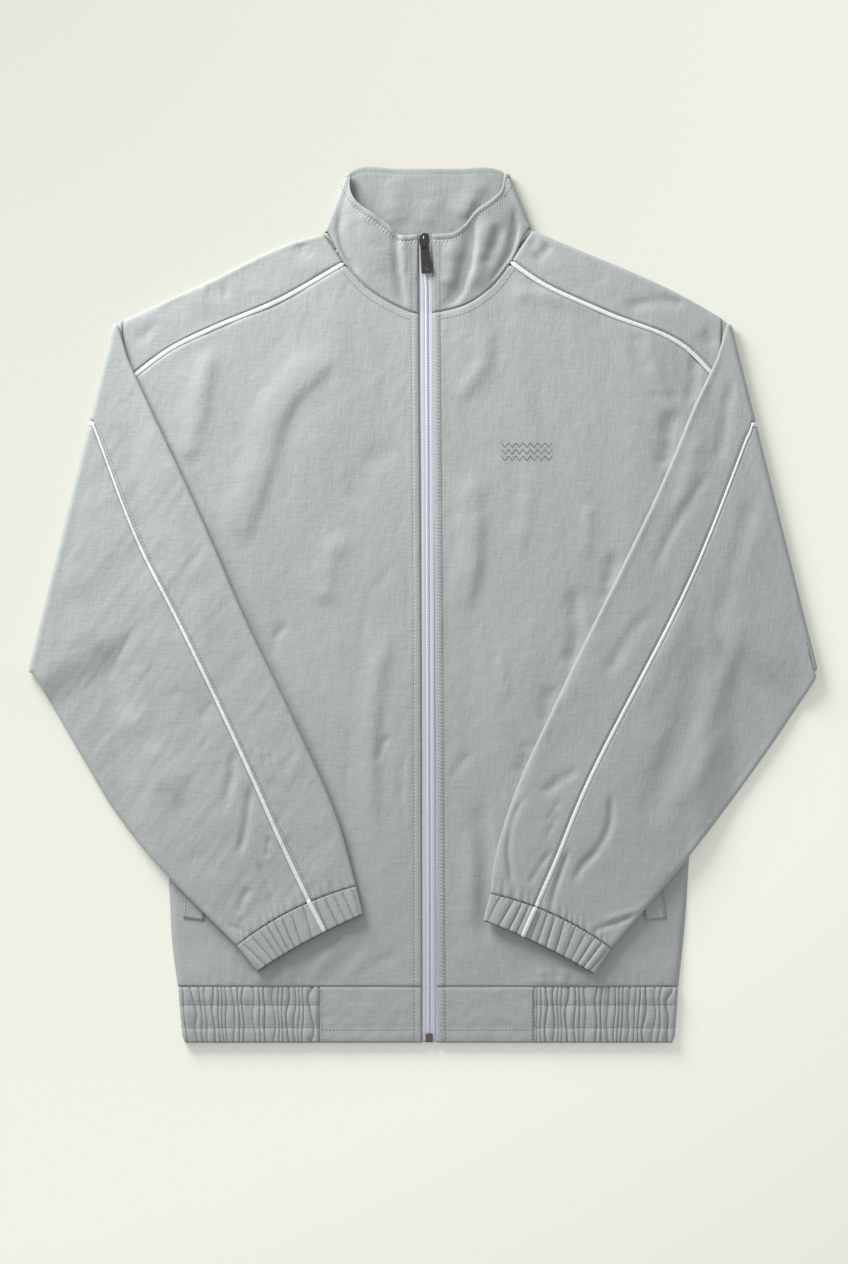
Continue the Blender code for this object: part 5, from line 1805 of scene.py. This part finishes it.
def bars(
    centres: np.ndarray, ahead: np.ndarray, up: np.ndarray, long: Number, thick: float, sides: int = 5
) -> tuple:
    """Many small rounded bars as one mesh: two rings and two tips each.

    Args:
        centres: Middle of each bar.
        ahead: Direction of its length.
        up: Direction out of the cloth.
        long: Length, one for all or one each.
        thick: Radius.
        sides: Points of a ring.

    Returns:
        Points and triangles.
    """
    ahead = ahead - up * np.sum(ahead * up, axis=1, keepdims=True)
    ahead = ahead / np.maximum(np.linalg.norm(ahead, axis=1, keepdims=True), TINY)
    aslant = np.cross(up, ahead)
    turn = np.arange(sides) * 2 * np.pi / sides + np.pi / 2
    half = np.broadcast_to(np.asarray(long, float) / 2, len(centres))[:, None]
    around = np.cos(turn)[None, :, None] * aslant[:, None] + np.sin(turn)[None, :, None] * up[:, None]
    shift = (half * 0.72)[:, None] * ahead[:, None]
    middle = centres[:, None] + thick * around
    rings = np.concatenate([middle - shift, middle + shift], axis=1)
    tips = np.stack([centres - half * ahead, centres + half * ahead], axis=1)
    points = np.concatenate([rings, tips], axis=1)
    first = np.arange(sides)
    after = np.roll(first, -1)
    one = np.concatenate([
        np.stack([first, after, after + sides], axis=-1),
        np.stack([first, after + sides, first + sides], axis=-1),
        np.stack([after, first, np.full(sides, 2 * sides)], axis=-1),
        np.stack([first + sides, after + sides, np.full(sides, 2 * sides + 1)], axis=-1),
    ])
    one = facing_out(points[0], one)
    faces = one[None] + (np.arange(len(centres)) * points.shape[1])[:, None, None]
    return points.reshape(-1, 3), faces.reshape(-1, 3)


@dataclass
class Stitching:
    """Rows of thread laid on finished pieces."""

    pitch: float = STITCH_PITCH
    share: float = 0.74  # part of the pitch that a stitch takes
    thick: float = 0.24
    above: float = 60.0  # height from which rays look for the cloth
    parts: list = field(default_factory=list)
    trees: dict = field(default_factory=dict)

    def row(
        self, piece: Piece, line: Line, below: bool = False, pitch: float = 0.0, thick: float = 0.0
    ) -> None:
        """Stitches along a plan line, set on the surface that a ray finds.

        Args:
            piece: What the row is sewn through.
            line: Plan points.
            below: True to lay the row on the underside.
            pitch: Spacing if it isn't the usual one.
            thick: Radius if it isn't the usual one.
        """
        pitch, thick = pitch or self.pitch, thick or self.thick
        ends = spaced(line, pitch)
        headings = np.diff(ends, axis=0)
        if piece.name not in self.trees:
            self.trees[piece.name] = piece.tree()
        tree = self.trees[piece.name]
        sense = -1.0 if below else 1.0
        found = []
        for (x, y), (dx, dy) in zip(ends[:-1] + headings / 2, headings):
            start, way = Vector((x, y, sense * self.above)), Vector((0.0, 0.0, -sense))
            place, normal, _, _ = tree.ray_cast(start, way)
            if place is not None:
                found.append((*(place + normal * thick * 0.25), dx, dy, 0.0, *normal))
        if found:
            rows = np.array(found)
            self.parts.append(bars(rows[:, :3], rows[:, 3:6], rows[:, 6:], pitch * self.share, thick))

    def build(self, name: str, finish: Finish) -> Piece:
        """All rows so far as one mesh.

        Args:
            name: The piece's name.
            finish: Its material and slot.

        Returns:
            The built piece.
        """
        points, faces = merged(self.parts)
        self.parts = []
        return Piece(name, points, faces, finish).build()


def creases(*rows: tuple) -> tuple:
    """Creases from their fields, route first."""
    return tuple(Crease(*row) for row in rows)


FRONT_LEFT_CREASES = creases(
    (((153, 380), (200, 480), (246, 598), (290, 700), (330, 800), (363, 890)), 7, -1.3),
    (((345, 350), (310, 375), (280, 410), (268, 450), (252, 500), (238, 545)), 14, 3.2, -0.35),
    (((212, 345), (203, 390), (195, 430), (188, 465)), 9, 2.1, -0.2),
    (((345, 530), (328, 565), (322, 610)), 12, 1.0),
    (((402, 553), (366, 607), (363, 650)), 3, -0.45),
    (((393, 620), (376, 690), (372, 735), (374, 850)), 9, 1.7, -0.3),
    (((389, 733), (382, 748), (374, 765)), 3, -0.8),
    (((405, 750), (401, 790), (406, 835)), 3, -0.4),
    (((272, 660), (277, 635), (290, 622)), 5, -0.8),
    (((352, 722), (347, 765), (345, 800)), 3, -0.35),
    (((395, 440), (365, 470), (350, 510)), 12, -0.8),
    (((400, 955), (370, 965)), 6, -0.5),
    (((200, 985), (205, 962), (220, 935)), 6, 0.9),
    (((228, 985), (229, 965), (238, 942)), 6, 1.0),
    (((258, 985), (264, 962), (262, 945)), 7, 1.2, -0.3),
    (((286, 985), (286, 972), (279, 958)), 6, 0.9),
    (((312, 985), (319, 965), (338, 948), (354, 928)), 8, 1.1, -0.3),
    (((343, 985), (356, 965), (374, 950)), 7, 0.7),
)
FRONT_RIGHT_CREASES = creases(
    (((487, 322), (481, 368), (452, 402)), 8, 1.0),
    (((474, 470), (474, 560), (466, 615)), 12, 2.1, -0.35),
    (((500, 292), (545, 296), (600, 306)), 8, 0.9),
    (((637, 330), (640, 360), (655, 372)), 8, -0.6),
    (((697, 345), (694, 380), (690, 405)), 5, -1.2),
    (((672, 408), (668, 440), (664, 470)), 7, -2.1),
    (((648, 394), (665, 397), (682, 394)), 5, -0.5),
    (((620, 548), (610, 575), (607, 605)), 7, -1.6),
    (((572, 585), (576, 630), (570, 672)), 7, -1.7),
    (((552, 685), (543, 725)), 7, -1.0),
    (((530, 738), (520, 780)), 7, -1.0),
    (((477, 790), (486, 850), (484, 900), (488, 950)), 8, -2.0),
    (((468, 830), (471, 880), (470, 930)), 9, 0.9),
    (((470, 752), (450, 780)), 4, -0.6),
    (((590, 500), (585, 560)), 6, 0.6),
    (((530, 470), (520, 560)), 8, 0.6),
    (((500, 640), (505, 700)), 7, 0.6),
    (((541, 985), (543, 968)), 6, 0.7),
    (((560, 985), (566, 967)), 6, 0.9),
    (((578, 985), (592, 962), (601, 938)), 7, 0.9),
    (((602, 985), (626, 958), (655, 932)), 7, 1.1, -0.3),
    (((633, 985), (652, 962), (673, 945)), 7, 1.0),
    (((655, 985), (669, 970), (682, 958)), 6, 0.8),
)
SLEEVE_LEFT_CREASES = creases(
    (((252, 782), (246, 825), (238, 860)), 4, -1.3),
    (((236, 745), (231, 780), (222, 818)), 5, -1.0),
    (((250, 885), (243, 900), (238, 914)), 4, -1.1),
    (((257, 858), (266, 880), (272, 900), (275, 915)), 3, -1.0),
    (((270, 835), (267, 858)), 3, -0.6),
    (((228, 924), (255, 935)), 3, -0.7),
    (((236, 938), (262, 932)), 3, -0.7),
    (((200, 720), (215, 700)), 5, -0.6),
    (((120, 700), (150, 745), (180, 800)), 15, 1.6),
    (((95, 640), (125, 690), (160, 760)), 10, -0.9),
    (((140, 560), (165, 640), (200, 700)), 16, 1.0),
    (((175, 790), (195, 840), (215, 880)), 9, -0.8),
    (((70, 560), (80, 610), (90, 650)), 12, 0.8),
)
STRIP_LEFT_CREASES = creases(
    (((125, 420), (135, 480), (150, 540)), 10, -0.9),
    (((258, 745), (262, 765), (268, 785)), 3, 0.5),
    (((266, 745), (270, 765), (276, 785)), 3, 0.45),
    (((274, 748), (278, 765), (284, 785)), 3, 0.4),
    (((345, 845), (350, 870), (352, 885)), 4, -0.7),
    (((335, 880), (333, 893)), 3, -0.5),
    (((315, 880), (313, 895)), 3, -0.5),
    (((170, 520), (190, 580), (215, 640)), 9, 0.7),
)
SLEEVE_RIGHT_CREASES = creases(
    (((737, 372), (727, 405), (722, 440), (714, 470)), 6, -1.1),
    (((712, 470), (690, 500), (665, 545), (650, 580)), 5, -0.8),
    (((706, 640), (692, 700), (672, 755), (655, 800), (648, 830)), 13, -1.8),
    (((760, 480), (735, 560), (712, 640)), 9, -0.8),
    (((610, 790), (609, 825), (596, 850), (580, 868), (573, 885)), 4, -1.6),
    (((570, 845), (560, 872), (552, 900), (550, 915)), 3, -1.5),
    (((640, 915), (615, 922), (586, 934)), 3, -1.4),
    (((665, 905), (630, 912), (600, 922)), 4, 0.8),
    (((745, 610), (730, 660), (708, 720)), 9, 0.9),
    (((690, 600), (668, 650), (640, 710)), 10, 0.8),
    (((720, 730), (700, 770), (675, 810)), 9, 0.9),
)
STRIP_RIGHT_CREASES = creases(
    (((530, 788), (515, 812), (508, 842), (510, 872), (517, 897)), 3, -1.3),
    (((552, 848), (538, 868), (528, 885)), 3, -0.7),
    (((655, 612), (640, 622), (620, 650), (605, 680)), 6, -0.9),
    (((580, 768), (560, 780), (540, 795)), 5, -1.0),
    (((560, 800), (545, 822)), 3, -0.5),
    (((558, 812), (545, 840)), 3, -0.5),
    (((700, 430), (690, 470), (672, 520)), 8, 0.8),
)
YOKE_LEFT_CREASES = creases(
    (((300, 240), (303, 250), (312, 257)), 5, -0.7),
    (((232, 290), (218, 290), (205, 288)), 9, -0.6),
    (((160, 318), (147, 332), (135, 345)), 6, -0.7),
)
YOKE_RIGHT_CREASES = creases(
    (((552, 243), (540, 255), (533, 262)), 5, -0.9),
    (((537, 235), (530, 250)), 4, -0.6),
    (((622, 308), (655, 301), (690, 303)), 6, -1.0),
    (((705, 330), (715, 345)), 5, -0.6),
)
COLLAR_LEFT_CREASES = creases(
    (((398, 224), (397, 255), (400, 282), (406, 312)), 4, -2.0, -0.3),
    (((334, 196), (337, 225), (346, 255), (358, 280)), 4, -2.2, 0.3),
    (((362, 205), (372, 240), (384, 275)), 12, 1.4),
    (((402, 232), (404, 250), (404, 275)), 3, 0.8),
)
COLLAR_RIGHT_CREASES = creases(
    (((474, 216), (471, 255), (463, 285), (446, 312)), 6, -3.4, -0.35),
    (((501, 222), (493, 243), (482, 268)), 6, -1.8),
    (((522, 200), (515, 235), (508, 262), (490, 290)), 4, -3.0, -0.3),
    (((489, 215), (483, 250), (470, 290)), 8, 1.8),
    (((452, 240), (452, 265), (446, 290)), 8, 1.2),
)
COLLAR_CREASES = {"left": COLLAR_LEFT_CREASES, "right": COLLAR_RIGHT_CREASES}
COLLAR_BACK_CREASES = creases(
    (((486, 178), (472, 200), (458, 222)), 9, 1.7, -0.3),
    (((392, 176), (395, 200), (399, 226)), 12, 0.9),
    (((430, 178), (432, 205), (428, 230)), 13, 0.7),
)


class Shader:
    """A material's node tree, with short ways to add and join nodes."""

    def __init__(self, name: str, colour: tuple, roughness: float, metallic: float = 0.0) -> None:
        """A principled material.

        Args:
            name: The material's name.
            colour: Linear base colour.
            roughness: Roughness of the surface.
            metallic: 1 for bare metal.
        """
        self.material = bpy.data.materials.new(name)
        self.material.use_nodes = True
        self.tree = self.material.node_tree
        self.surface = self.tree.nodes["Principled BSDF"]
        self.surface.inputs["Base Color"].default_value = (*colour, 1.0)
        self.surface.inputs["Roughness"].default_value = roughness
        self.surface.inputs["Metallic"].default_value = metallic
        self.material.diffuse_color = (*colour, 1.0)

    def set(self, **values: float | tuple) -> "Shader":
        """Sets sockets of the surface.

        Args:
            **values: Their values, with _ for a space in their names.

        Returns:
            This shader.
        """
        for name, value in values.items():
            self.surface.inputs[name.replace("_", " ")].default_value = value
        return self

    def add(self, kind: str, **settings: str) -> bpy.types.Node:
        """A new node.

        Args:
            kind: Its type.
            **settings: Its properties.

        Returns:
            The node.
        """
        node = self.tree.nodes.new(kind)
        for name, value in settings.items():
            setattr(node, name, value)
        return node

    def link(self, source: Socket, target: Socket) -> None:
        """Joins two sockets."""
        self.tree.links.new(source, target)

    def math(self, operation: str, *values: Socket | float) -> Socket:
        """A sum.

        Args:
            operation: Which one.
            *values: Sockets or numbers.

        Returns:
            The socket of its result.
        """
        node = self.add("ShaderNodeMath", operation=operation)
        for value, place in zip(values, node.inputs):
            if isinstance(value, (int, float)):
                place.default_value = value
            else:
                self.link(value, place)
        return node.outputs[0]

    def noise(
        self, scale: float, stretch: tuple = (1, 1, 1), turn: float = 0.0, detail: float = 2.0
    ) -> Socket:
        """Noise on the object's own coordinates.

        Args:
            scale: How fine it is.
            stretch: Scale of each axis.
            turn: Degrees about z.
            detail: Octaves.

        Returns:
            The socket of its value.
        """
        where = self.add("ShaderNodeTexCoord").outputs["Object"]
        mapping = self.add("ShaderNodeMapping")
        mapping.inputs["Rotation"].default_value[2] = np.radians(turn)
        mapping.inputs["Scale"].default_value = stretch
        self.link(where, mapping.inputs["Vector"])
        made = self.add("ShaderNodeTexNoise")
        made.inputs["Scale"].default_value = scale
        made.inputs["Detail"].default_value = detail
        self.link(mapping.outputs[0], made.inputs["Vector"])
        return made.outputs[0]

    def bump(self, height: Socket, distance: float, under: Socket | None = None) -> Socket:
        """A bump on a height.

        Args:
            height: The socket of the height.
            distance: Depth that a height of 1 stands for, in metres.
            under: Another bump's normal, that this one is laid over.

        Returns:
            The socket of the normal.
        """
        node = self.add("ShaderNodeBump")
        node.inputs["Strength"].default_value = 1.0
        node.inputs["Distance"].default_value = distance
        self.link(height, node.inputs["Height"])
        if under is not None:
            self.link(under, node.inputs["Normal"])
        return node.outputs[0]

    def attribute(self, name: str) -> Socket:
        """A mesh attribute's number."""
        return self.add("ShaderNodeAttribute", attribute_name=name).outputs["Fac"]

    def shade(self, colour: tuple, share: Socket) -> None:
        """Makes the base colour a share of a colour.

        Args:
            colour: The full colour.
            share: The socket of the share.
        """
        node = self.add("ShaderNodeVectorMath", operation="SCALE")
        node.inputs[0].default_value = colour
        self.link(share, node.inputs["Scale"])
        self.link(node.outputs[0], self.surface.inputs["Base Color"])


NYLON = (0.45, 0.485, 0.473)  # pale green grey


def nylon() -> bpy.types.Material:
    """Crinkled plain-weave nylon: fine crinkles, short wrinkles, and puckers along the stitch rows.

    Returns:
        The material.
    """
    made = Shader("nylon", NYLON, 0.6).set(Specular_IOR_Level=0.35, Sheen_Weight=0.12, Sheen_Roughness=0.5)
    wrinkles = made.noise(90.0, (1.0, 0.7, 1.0), 8.0, 3.0)
    crinkle = made.noise(420.0, (1.0, 0.2, 1.0), 3.0, 2.0)
    level_crinkle = made.noise(420.0, (0.22, 1.0, 1.0), -2.0, 2.0)
    weave = made.noise(1400.0, (1.0, 1.0, 1.0), 0.0, 1.0)
    gap, run = made.attribute("seam_gap"), made.attribute("seam_run")
    inside = made.math("ADD", gap, 2.4)
    close = made.math("EXPONENT", made.math("MULTIPLY", made.math("MULTIPLY", inside, inside), -0.16))
    slant = made.math("ADD", made.math("MULTIPLY", run, 2 * np.pi / STITCH_PITCH), gap)
    loose = made.math("MULTIPLY", made.noise(80.0, (1, 1, 1), 0.0, 2.0), 7.0)
    wave = made.math("SINE", made.math("ADD", slant, loose))
    pucker = made.math("MULTIPLY", made.math("MULTIPLY", wave, close), made.attribute("seam_pull"))
    normal = None
    for height, depth in (
        (wrinkles, 0.0008), (crinkle, 0.00026), (level_crinkle, 0.00016), (weave, 0.00008), (pucker, 0.00014),
    ):
        normal = made.bump(height, depth, normal)
    made.link(normal, made.surface.inputs["Normal"])
    # Painted shade: the dim attribute darkens the base colour in valleys, along seam borders, in the cuffs'
    # mouths and over the collar.
    made.shade(NYLON, made.math("SUBTRACT", 1.0, made.attribute("dim")))
    return made.material


def satin() -> bpy.types.Material:
    """White satin piping, faintly puckered.

    Returns:
        The material.
    """
    made = Shader("satin", (0.86, 0.87, 0.89), 0.34).set(Specular_IOR_Level=0.5, Sheen_Weight=0.1)
    made.link(made.bump(made.noise(380.0, (1, 1, 1), 0.0, 2.0), 0.0004), made.surface.inputs["Normal"])
    return made.material


def tape_cloth() -> bpy.types.Material:
    """Woven zip tape, pale lavender grey, with fine ribs along it.

    Returns:
        The material.
    """
    made = Shader("zip_tape", (0.72, 0.745, 0.82), 0.55).set(Specular_IOR_Level=0.4)
    ribs = made.add("ShaderNodeTexWave", wave_type="BANDS", bands_direction="X")
    ribs.inputs["Scale"].default_value = 330.0
    made.link(made.add("ShaderNodeTexCoord").outputs["UV"], ribs.inputs["Vector"])
    made.link(made.bump(ribs.outputs[0], 0.0002), made.surface.inputs["Normal"])
    return made.material


def metal(name: str, colour: tuple, roughness: float) -> bpy.types.Material:
    """Plated metal, slightly uneven.

    Args:
        name: The material's name.
        colour: Linear base colour.
        roughness: Roughness of the surface.

    Returns:
        The material.
    """
    made = Shader(name, colour, roughness, 1.0)
    made.link(made.bump(made.noise(260.0), 0.00012), made.surface.inputs["Normal"])
    return made.material


def finishes() -> Cloths:
    """All finishes, each with the record's slot.

    Returns:
        The finishes.
    """
    # The stitches are real thread, but their dark grey is painted shade: it stands for the shadow in the needle
    # holes along each row.
    thread = Shader("thread", (0.2, 0.22, 0.22), 0.6).set(Specular_IOR_Level=0.4)
    return Cloths(
        cloth=Finish(nylon(), "cloth"),
        piping=Finish(satin(), "piping"),
        tape=Finish(tape_cloth(), "tape"),
        metal=Finish(metal("gunmetal", (0.13, 0.13, 0.132), 0.24), "zip_metal"),
        stop=Finish(metal("dull_brass", (0.25, 0.2, 0.15), 0.4), "stop_metal"),
        thread=Finish(thread.material, "cloth"),
    )


@dataclass
class Studio:
    """Pale floor, a soft lamp to the upper left, and a camera straight overhead.

    The lamp is near enough to fade towards the lower right. The floor's own tone rises to meet that, as a
    graded backdrop does, so that it looks even.
    """

    lens: float = 85.0
    sensor: float = 36.0
    floor: tuple = (1.0, 1.008, 0.918)  # tint
    floor_level: float = 0.885  # brightness that it should have
    floor_glow: float = 0.17  # part of that which is its own
    floor_half: float = 1.5  # metres
    floor_lines: int = 91
    lamp_at: tuple = (-0.86, 1.22, 0.62)  # metres
    lamp_power: float = 32.0
    lamp_size: float = 0.85
    sky: float = 0.46

    def lamp_light(self, x: np.ndarray, y: np.ndarray) -> np.ndarray:
        """Lamp light on the floor: power over pi squared and distance squared, times both cosines.

        Args:
            x, y: Places on the floor, in metres.

        Returns:
            The light at each.
        """
        away = self.lamp_at - np.stack([x, y, np.zeros(x.shape)], axis=-1)
        far = np.linalg.norm(away, axis=-1)
        aim = np.asarray(self.lamp_at) / np.linalg.norm(self.lamp_at)
        return self.lamp_power / (np.pi * far) ** 2 * (away[..., 2] / far) * np.clip((away @ aim) / far, 0, 1)

    def build_floor(self) -> bpy.types.Object:
        """A level grid with the backdrop's tone at each point.

        Returns:
            The floor.
        """
        steps = np.linspace(-self.floor_half, self.floor_half, self.floor_lines)
        x, y = np.meshgrid(steps, steps)
        points = np.stack([x, y, np.full(x.shape, -0.0002)], axis=-1).reshape(-1, 3)
        mesh = bpy.data.meshes.new("floor")
        mesh.from_pydata(points.tolist(), [], grid_faces(self.floor_lines, self.floor_lines).tolist())
        tone = (self.floor_level - self.floor_glow) / (self.sky + self.lamp_light(x, y))
        tone = np.clip(tone, 0.03, 0.99).ravel().astype(np.float32)
        mesh.attributes.new("tone", "FLOAT", "POINT").data.foreach_set("value", tone)
        made = Shader("floor", self.floor, 0.9).set(Specular_IOR_Level=0.0)
        made.shade(self.floor, made.attribute("tone"))
        made.set(Emission_Color=(*self.floor, 1.0), Emission_Strength=self.floor_glow)
        mesh.materials.append(made.material)
        return bpy.data.objects.new("floor", mesh)

    def build(self) -> None:
        """Makes floor, lights and camera."""
        scene = bpy.context.scene
        scene.view_settings.view_transform = "Standard"
        floor = self.build_floor()
        scene.collection.objects.link(floor)
        world = bpy.data.worlds.new("studio")
        world.use_nodes = True
        sky = world.node_tree.nodes["Background"].inputs
        sky["Color"].default_value, sky["Strength"].default_value = (1.0, 1.0, 1.0, 1.0), self.sky
        scene.world = world
        light = bpy.data.lights.new("lamp", "AREA")
        light.shape, light.size, light.energy = "DISK", self.lamp_size, self.lamp_power
        lamp = bpy.data.objects.new("lamp", light)
        lamp.location = self.lamp_at
        lamp.rotation_euler = (-Vector(self.lamp_at)).to_track_quat("-Z", "Y").to_euler()
        scene.collection.objects.link(lamp)
        camera = bpy.data.objects.new("camera", bpy.data.cameras.new("camera"))
        camera.data.lens, camera.data.sensor_width = self.lens, self.sensor
        middle = from_photo([(PHOTO_SIZE[0] / 2, PHOTO_SIZE[1] / 2)])[0] * MM
        away = PHOTO_SIZE[1] * PIXEL * MM * self.lens / self.sensor + 0.006
        camera.location = (middle[0], middle[1], away)
        scene.collection.objects.link(camera)
        scene.camera = camera


ELASTIC_ROWS = (-339.2, -358.8)  # y of the stitch rows on the gathered band
PLAIN_ROW = -360.8  # and on the plain one


def sew_openings(work: Stitching, half: Half, pieces: dict) -> None:
    """Thread round the neck, the collar and the zip.

    Args:
        work: Where the rows are kept.
        half: Which side.
        pieces: The built pieces by name.
    """
    front, collar, band = pieces[f"front_{half.name}"], pieces["collar"], pieces[f"hem_plain_{half.name}"]
    for piece, line, distance, shares in (
        (collar, half.neck, 1.7, (0.03, 0.97, 60)),
        (front, half.neck, -6.3, (0.08, 1.0, 60)),
        (collar, half.collar_top, -4.6, (0.04, 0.93, 80)),
    ):
        work.row(piece, along(aside(curved(line), half.sign * distance), np.linspace(*shares)))
    for piece, heights in (
        (front, (HEM_SEAM + 1.0, NECK_Y - 1.0, 60)),
        (collar, (NECK_Y + 1.0, COLLAR_Y - 5.5, 60)),
        (band, (HEM_SEAM - 1.5, HEM_BOTTOM + 1.0, 12)),
    ):
        y = np.linspace(*heights)
        work.row(piece, np.column_stack([at_height(half.zip_edge, y) + half.sign * STITCH_IN, y]))


def sew_hem(work: Stitching, half: Half, pieces: dict) -> None:
    """Thread along the hem's bands and beside their join.

    Args:
        work: Where the rows are kept.
        half: Which side.
        pieces: The built pieces by name.
    """
    sign, plain, elastic = half.sign, pieces[f"hem_plain_{half.name}"], pieces["hem_elastic"]
    start = at_height(half.zip_edge, PLAIN_ROW) + sign * 1.5
    work.row(plain, [(start, PLAIN_ROW), (half.join - sign * 1.0, PLAIN_ROW)])
    for level in ELASTIC_ROWS:
        work.row(elastic, [(half.join + sign * 1.5, level), (half.band[0] - sign * 2.0, level)])
    for away in (-1.6, 1.6):
        x = half.join + away
        work.row(elastic if away * sign > 0 else plain, [(x, HEM_SEAM - 2.0), (x, HEM_BOTTOM + 2.0)])


def sew_sleeve(work: Stitching, half: Half, pieces: dict) -> None:
    """Thread beside the pipings, on the welt and along the cuff seam.

    Args:
        work: Where the rows are kept.
        half: Which side.
        pieces: The built pieces by name.
    """
    side, sign = half.name, half.sign
    strip, welt = pieces[f"sleeve_strip_{side}"], pieces[f"welt_{side}"]
    beside, inset, above = 3.6, 1.6, 1.3  # rows from a piping, from the welt's edges and from the cuff seam
    line = aside(curved(half.front_piping), sign * beside)
    work.row(pieces[f"yoke_{side}"], along(line, np.linspace(0.01, 0.97, 80)))
    line = aside(curved(half.sleeve_piping), sign * -beside)
    work.row(strip, along(line, np.linspace(0.03, 0.99, 160)))
    low_out, low_in, high_out, high_in = (np.asarray(p, float) for p in half.welt)
    across = (low_in - low_out) / np.linalg.norm(low_in - low_out) * inset
    work.row(welt, [low_out + across, high_out + across])
    work.row(welt, [low_in - across, high_in - across])
    seam_top, seam_under = np.asarray(half.cuff[0]), np.asarray(half.cuff[1])
    share = np.linspace(0.03, 0.97, 40)[:, None]
    run = (seam_under - seam_top) / np.linalg.norm(seam_under - seam_top)
    up = np.array([-run[1], run[0]]) * sign
    line = seam_top + (seam_under - seam_top) * share + up * (CUFF_SEAM_BOW * 4 * share * (1 - share) + above)
    for panel in (strip, pieces[f"sleeve_under_{side}"]):
        work.row(panel, line, pitch=2.4)


def sew(pieces: dict, finish: Finish) -> None:
    """All the thread of the garment.

    Args:
        pieces: The built pieces by name.
        finish: The thread's material and slot.
    """
    work = Stitching()
    for half in HALVES:
        sew_openings(work, half, pieces)
        sew_hem(work, half, pieces)
        sew_sleeve(work, half, pieces)
    for level in ELASTIC_ROWS:
        work.row(pieces["hem_elastic"], [(-200.0, level), (206.0, level)], below=True)
    work.build("stitching", finish)


def embroider(front: Piece, finish: Finish) -> Piece:
    """A small tonal zigzag band on the chest: three rows of slanting satin stitches.

    Args:
        front: The panel that it is sewn on.
        finish: The thread's material and slot.

    Returns:
        The built piece.
    """
    work = Stitching()
    corner = from_photo([(501, 440)])[0]
    turns = np.arange(15)
    step, tall, spacing = 3.1, 4.2, 5.6  # of a turn, of a row, from row to row
    for row in range(3):
        x, y = corner[0] + turns * step, corner[1] - 2.0 - row * spacing - tall * (turns % 2)
        work.row(front, np.column_stack([x, y]), pitch=1.3, thick=0.36)
    return work.build("chest_mark", finish)


def main() -> None:
    """Builds the garment piece by piece, then the studio."""
    logging.basicConfig(level=logging.INFO, format="%(message)s")
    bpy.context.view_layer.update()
    looks = finishes()
    pieces = {"back": Back().build(looks.cloth)}
    fronts = {
        "left": Front(LEFT, FRONT_LEFT_CREASES, pull=0.3),
        "right": Front(RIGHT, FRONT_RIGHT_CREASES),
    }
    folds = {
        "left": (SLEEVE_LEFT_CREASES, STRIP_LEFT_CREASES, YOKE_LEFT_CREASES),
        "right": (SLEEVE_RIGHT_CREASES, STRIP_RIGHT_CREASES, YOKE_RIGHT_CREASES),
    }
    hem, zipper = Hem(), Zip()
    pieces["hem_elastic"] = hem.build_elastic(looks.cloth)
    for half in HALVES:
        side = half.name
        pieces[f"front_{side}"] = fronts[side].build(looks.cloth)
        made = Shoulder(half, *folds[side]).build(looks)
        pieces |= dict(zip((f"yoke_{side}", f"sleeve_strip_{side}", f"sleeve_under_{side}"), made))
        cuff = Cuff(half)
        pieces[f"cuff_{side}"] = cuff.build(looks.cloth)
        cuff.build_piping(looks.piping)
        pieces[f"hem_plain_{side}"] = hem.build_plain(half, looks.cloth)
        zipper.build_tape(half, looks.tape)
        pieces[f"welt_{side}"] = Welt(half, fronts[side]).build(looks.cloth)
    pieces["collar"] = Collar().build(looks.cloth)
    zipper.build_coil(looks.tape)
    zipper.build_slider(looks.metal)
    zipper.build_pull(looks.metal)
    zipper.build_stop(looks.stop)
    sew(pieces, looks.thread)
    embroider(pieces["front_right"], looks.thread)
    Studio().build()
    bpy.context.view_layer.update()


if __name__ == "__main__":
    main()
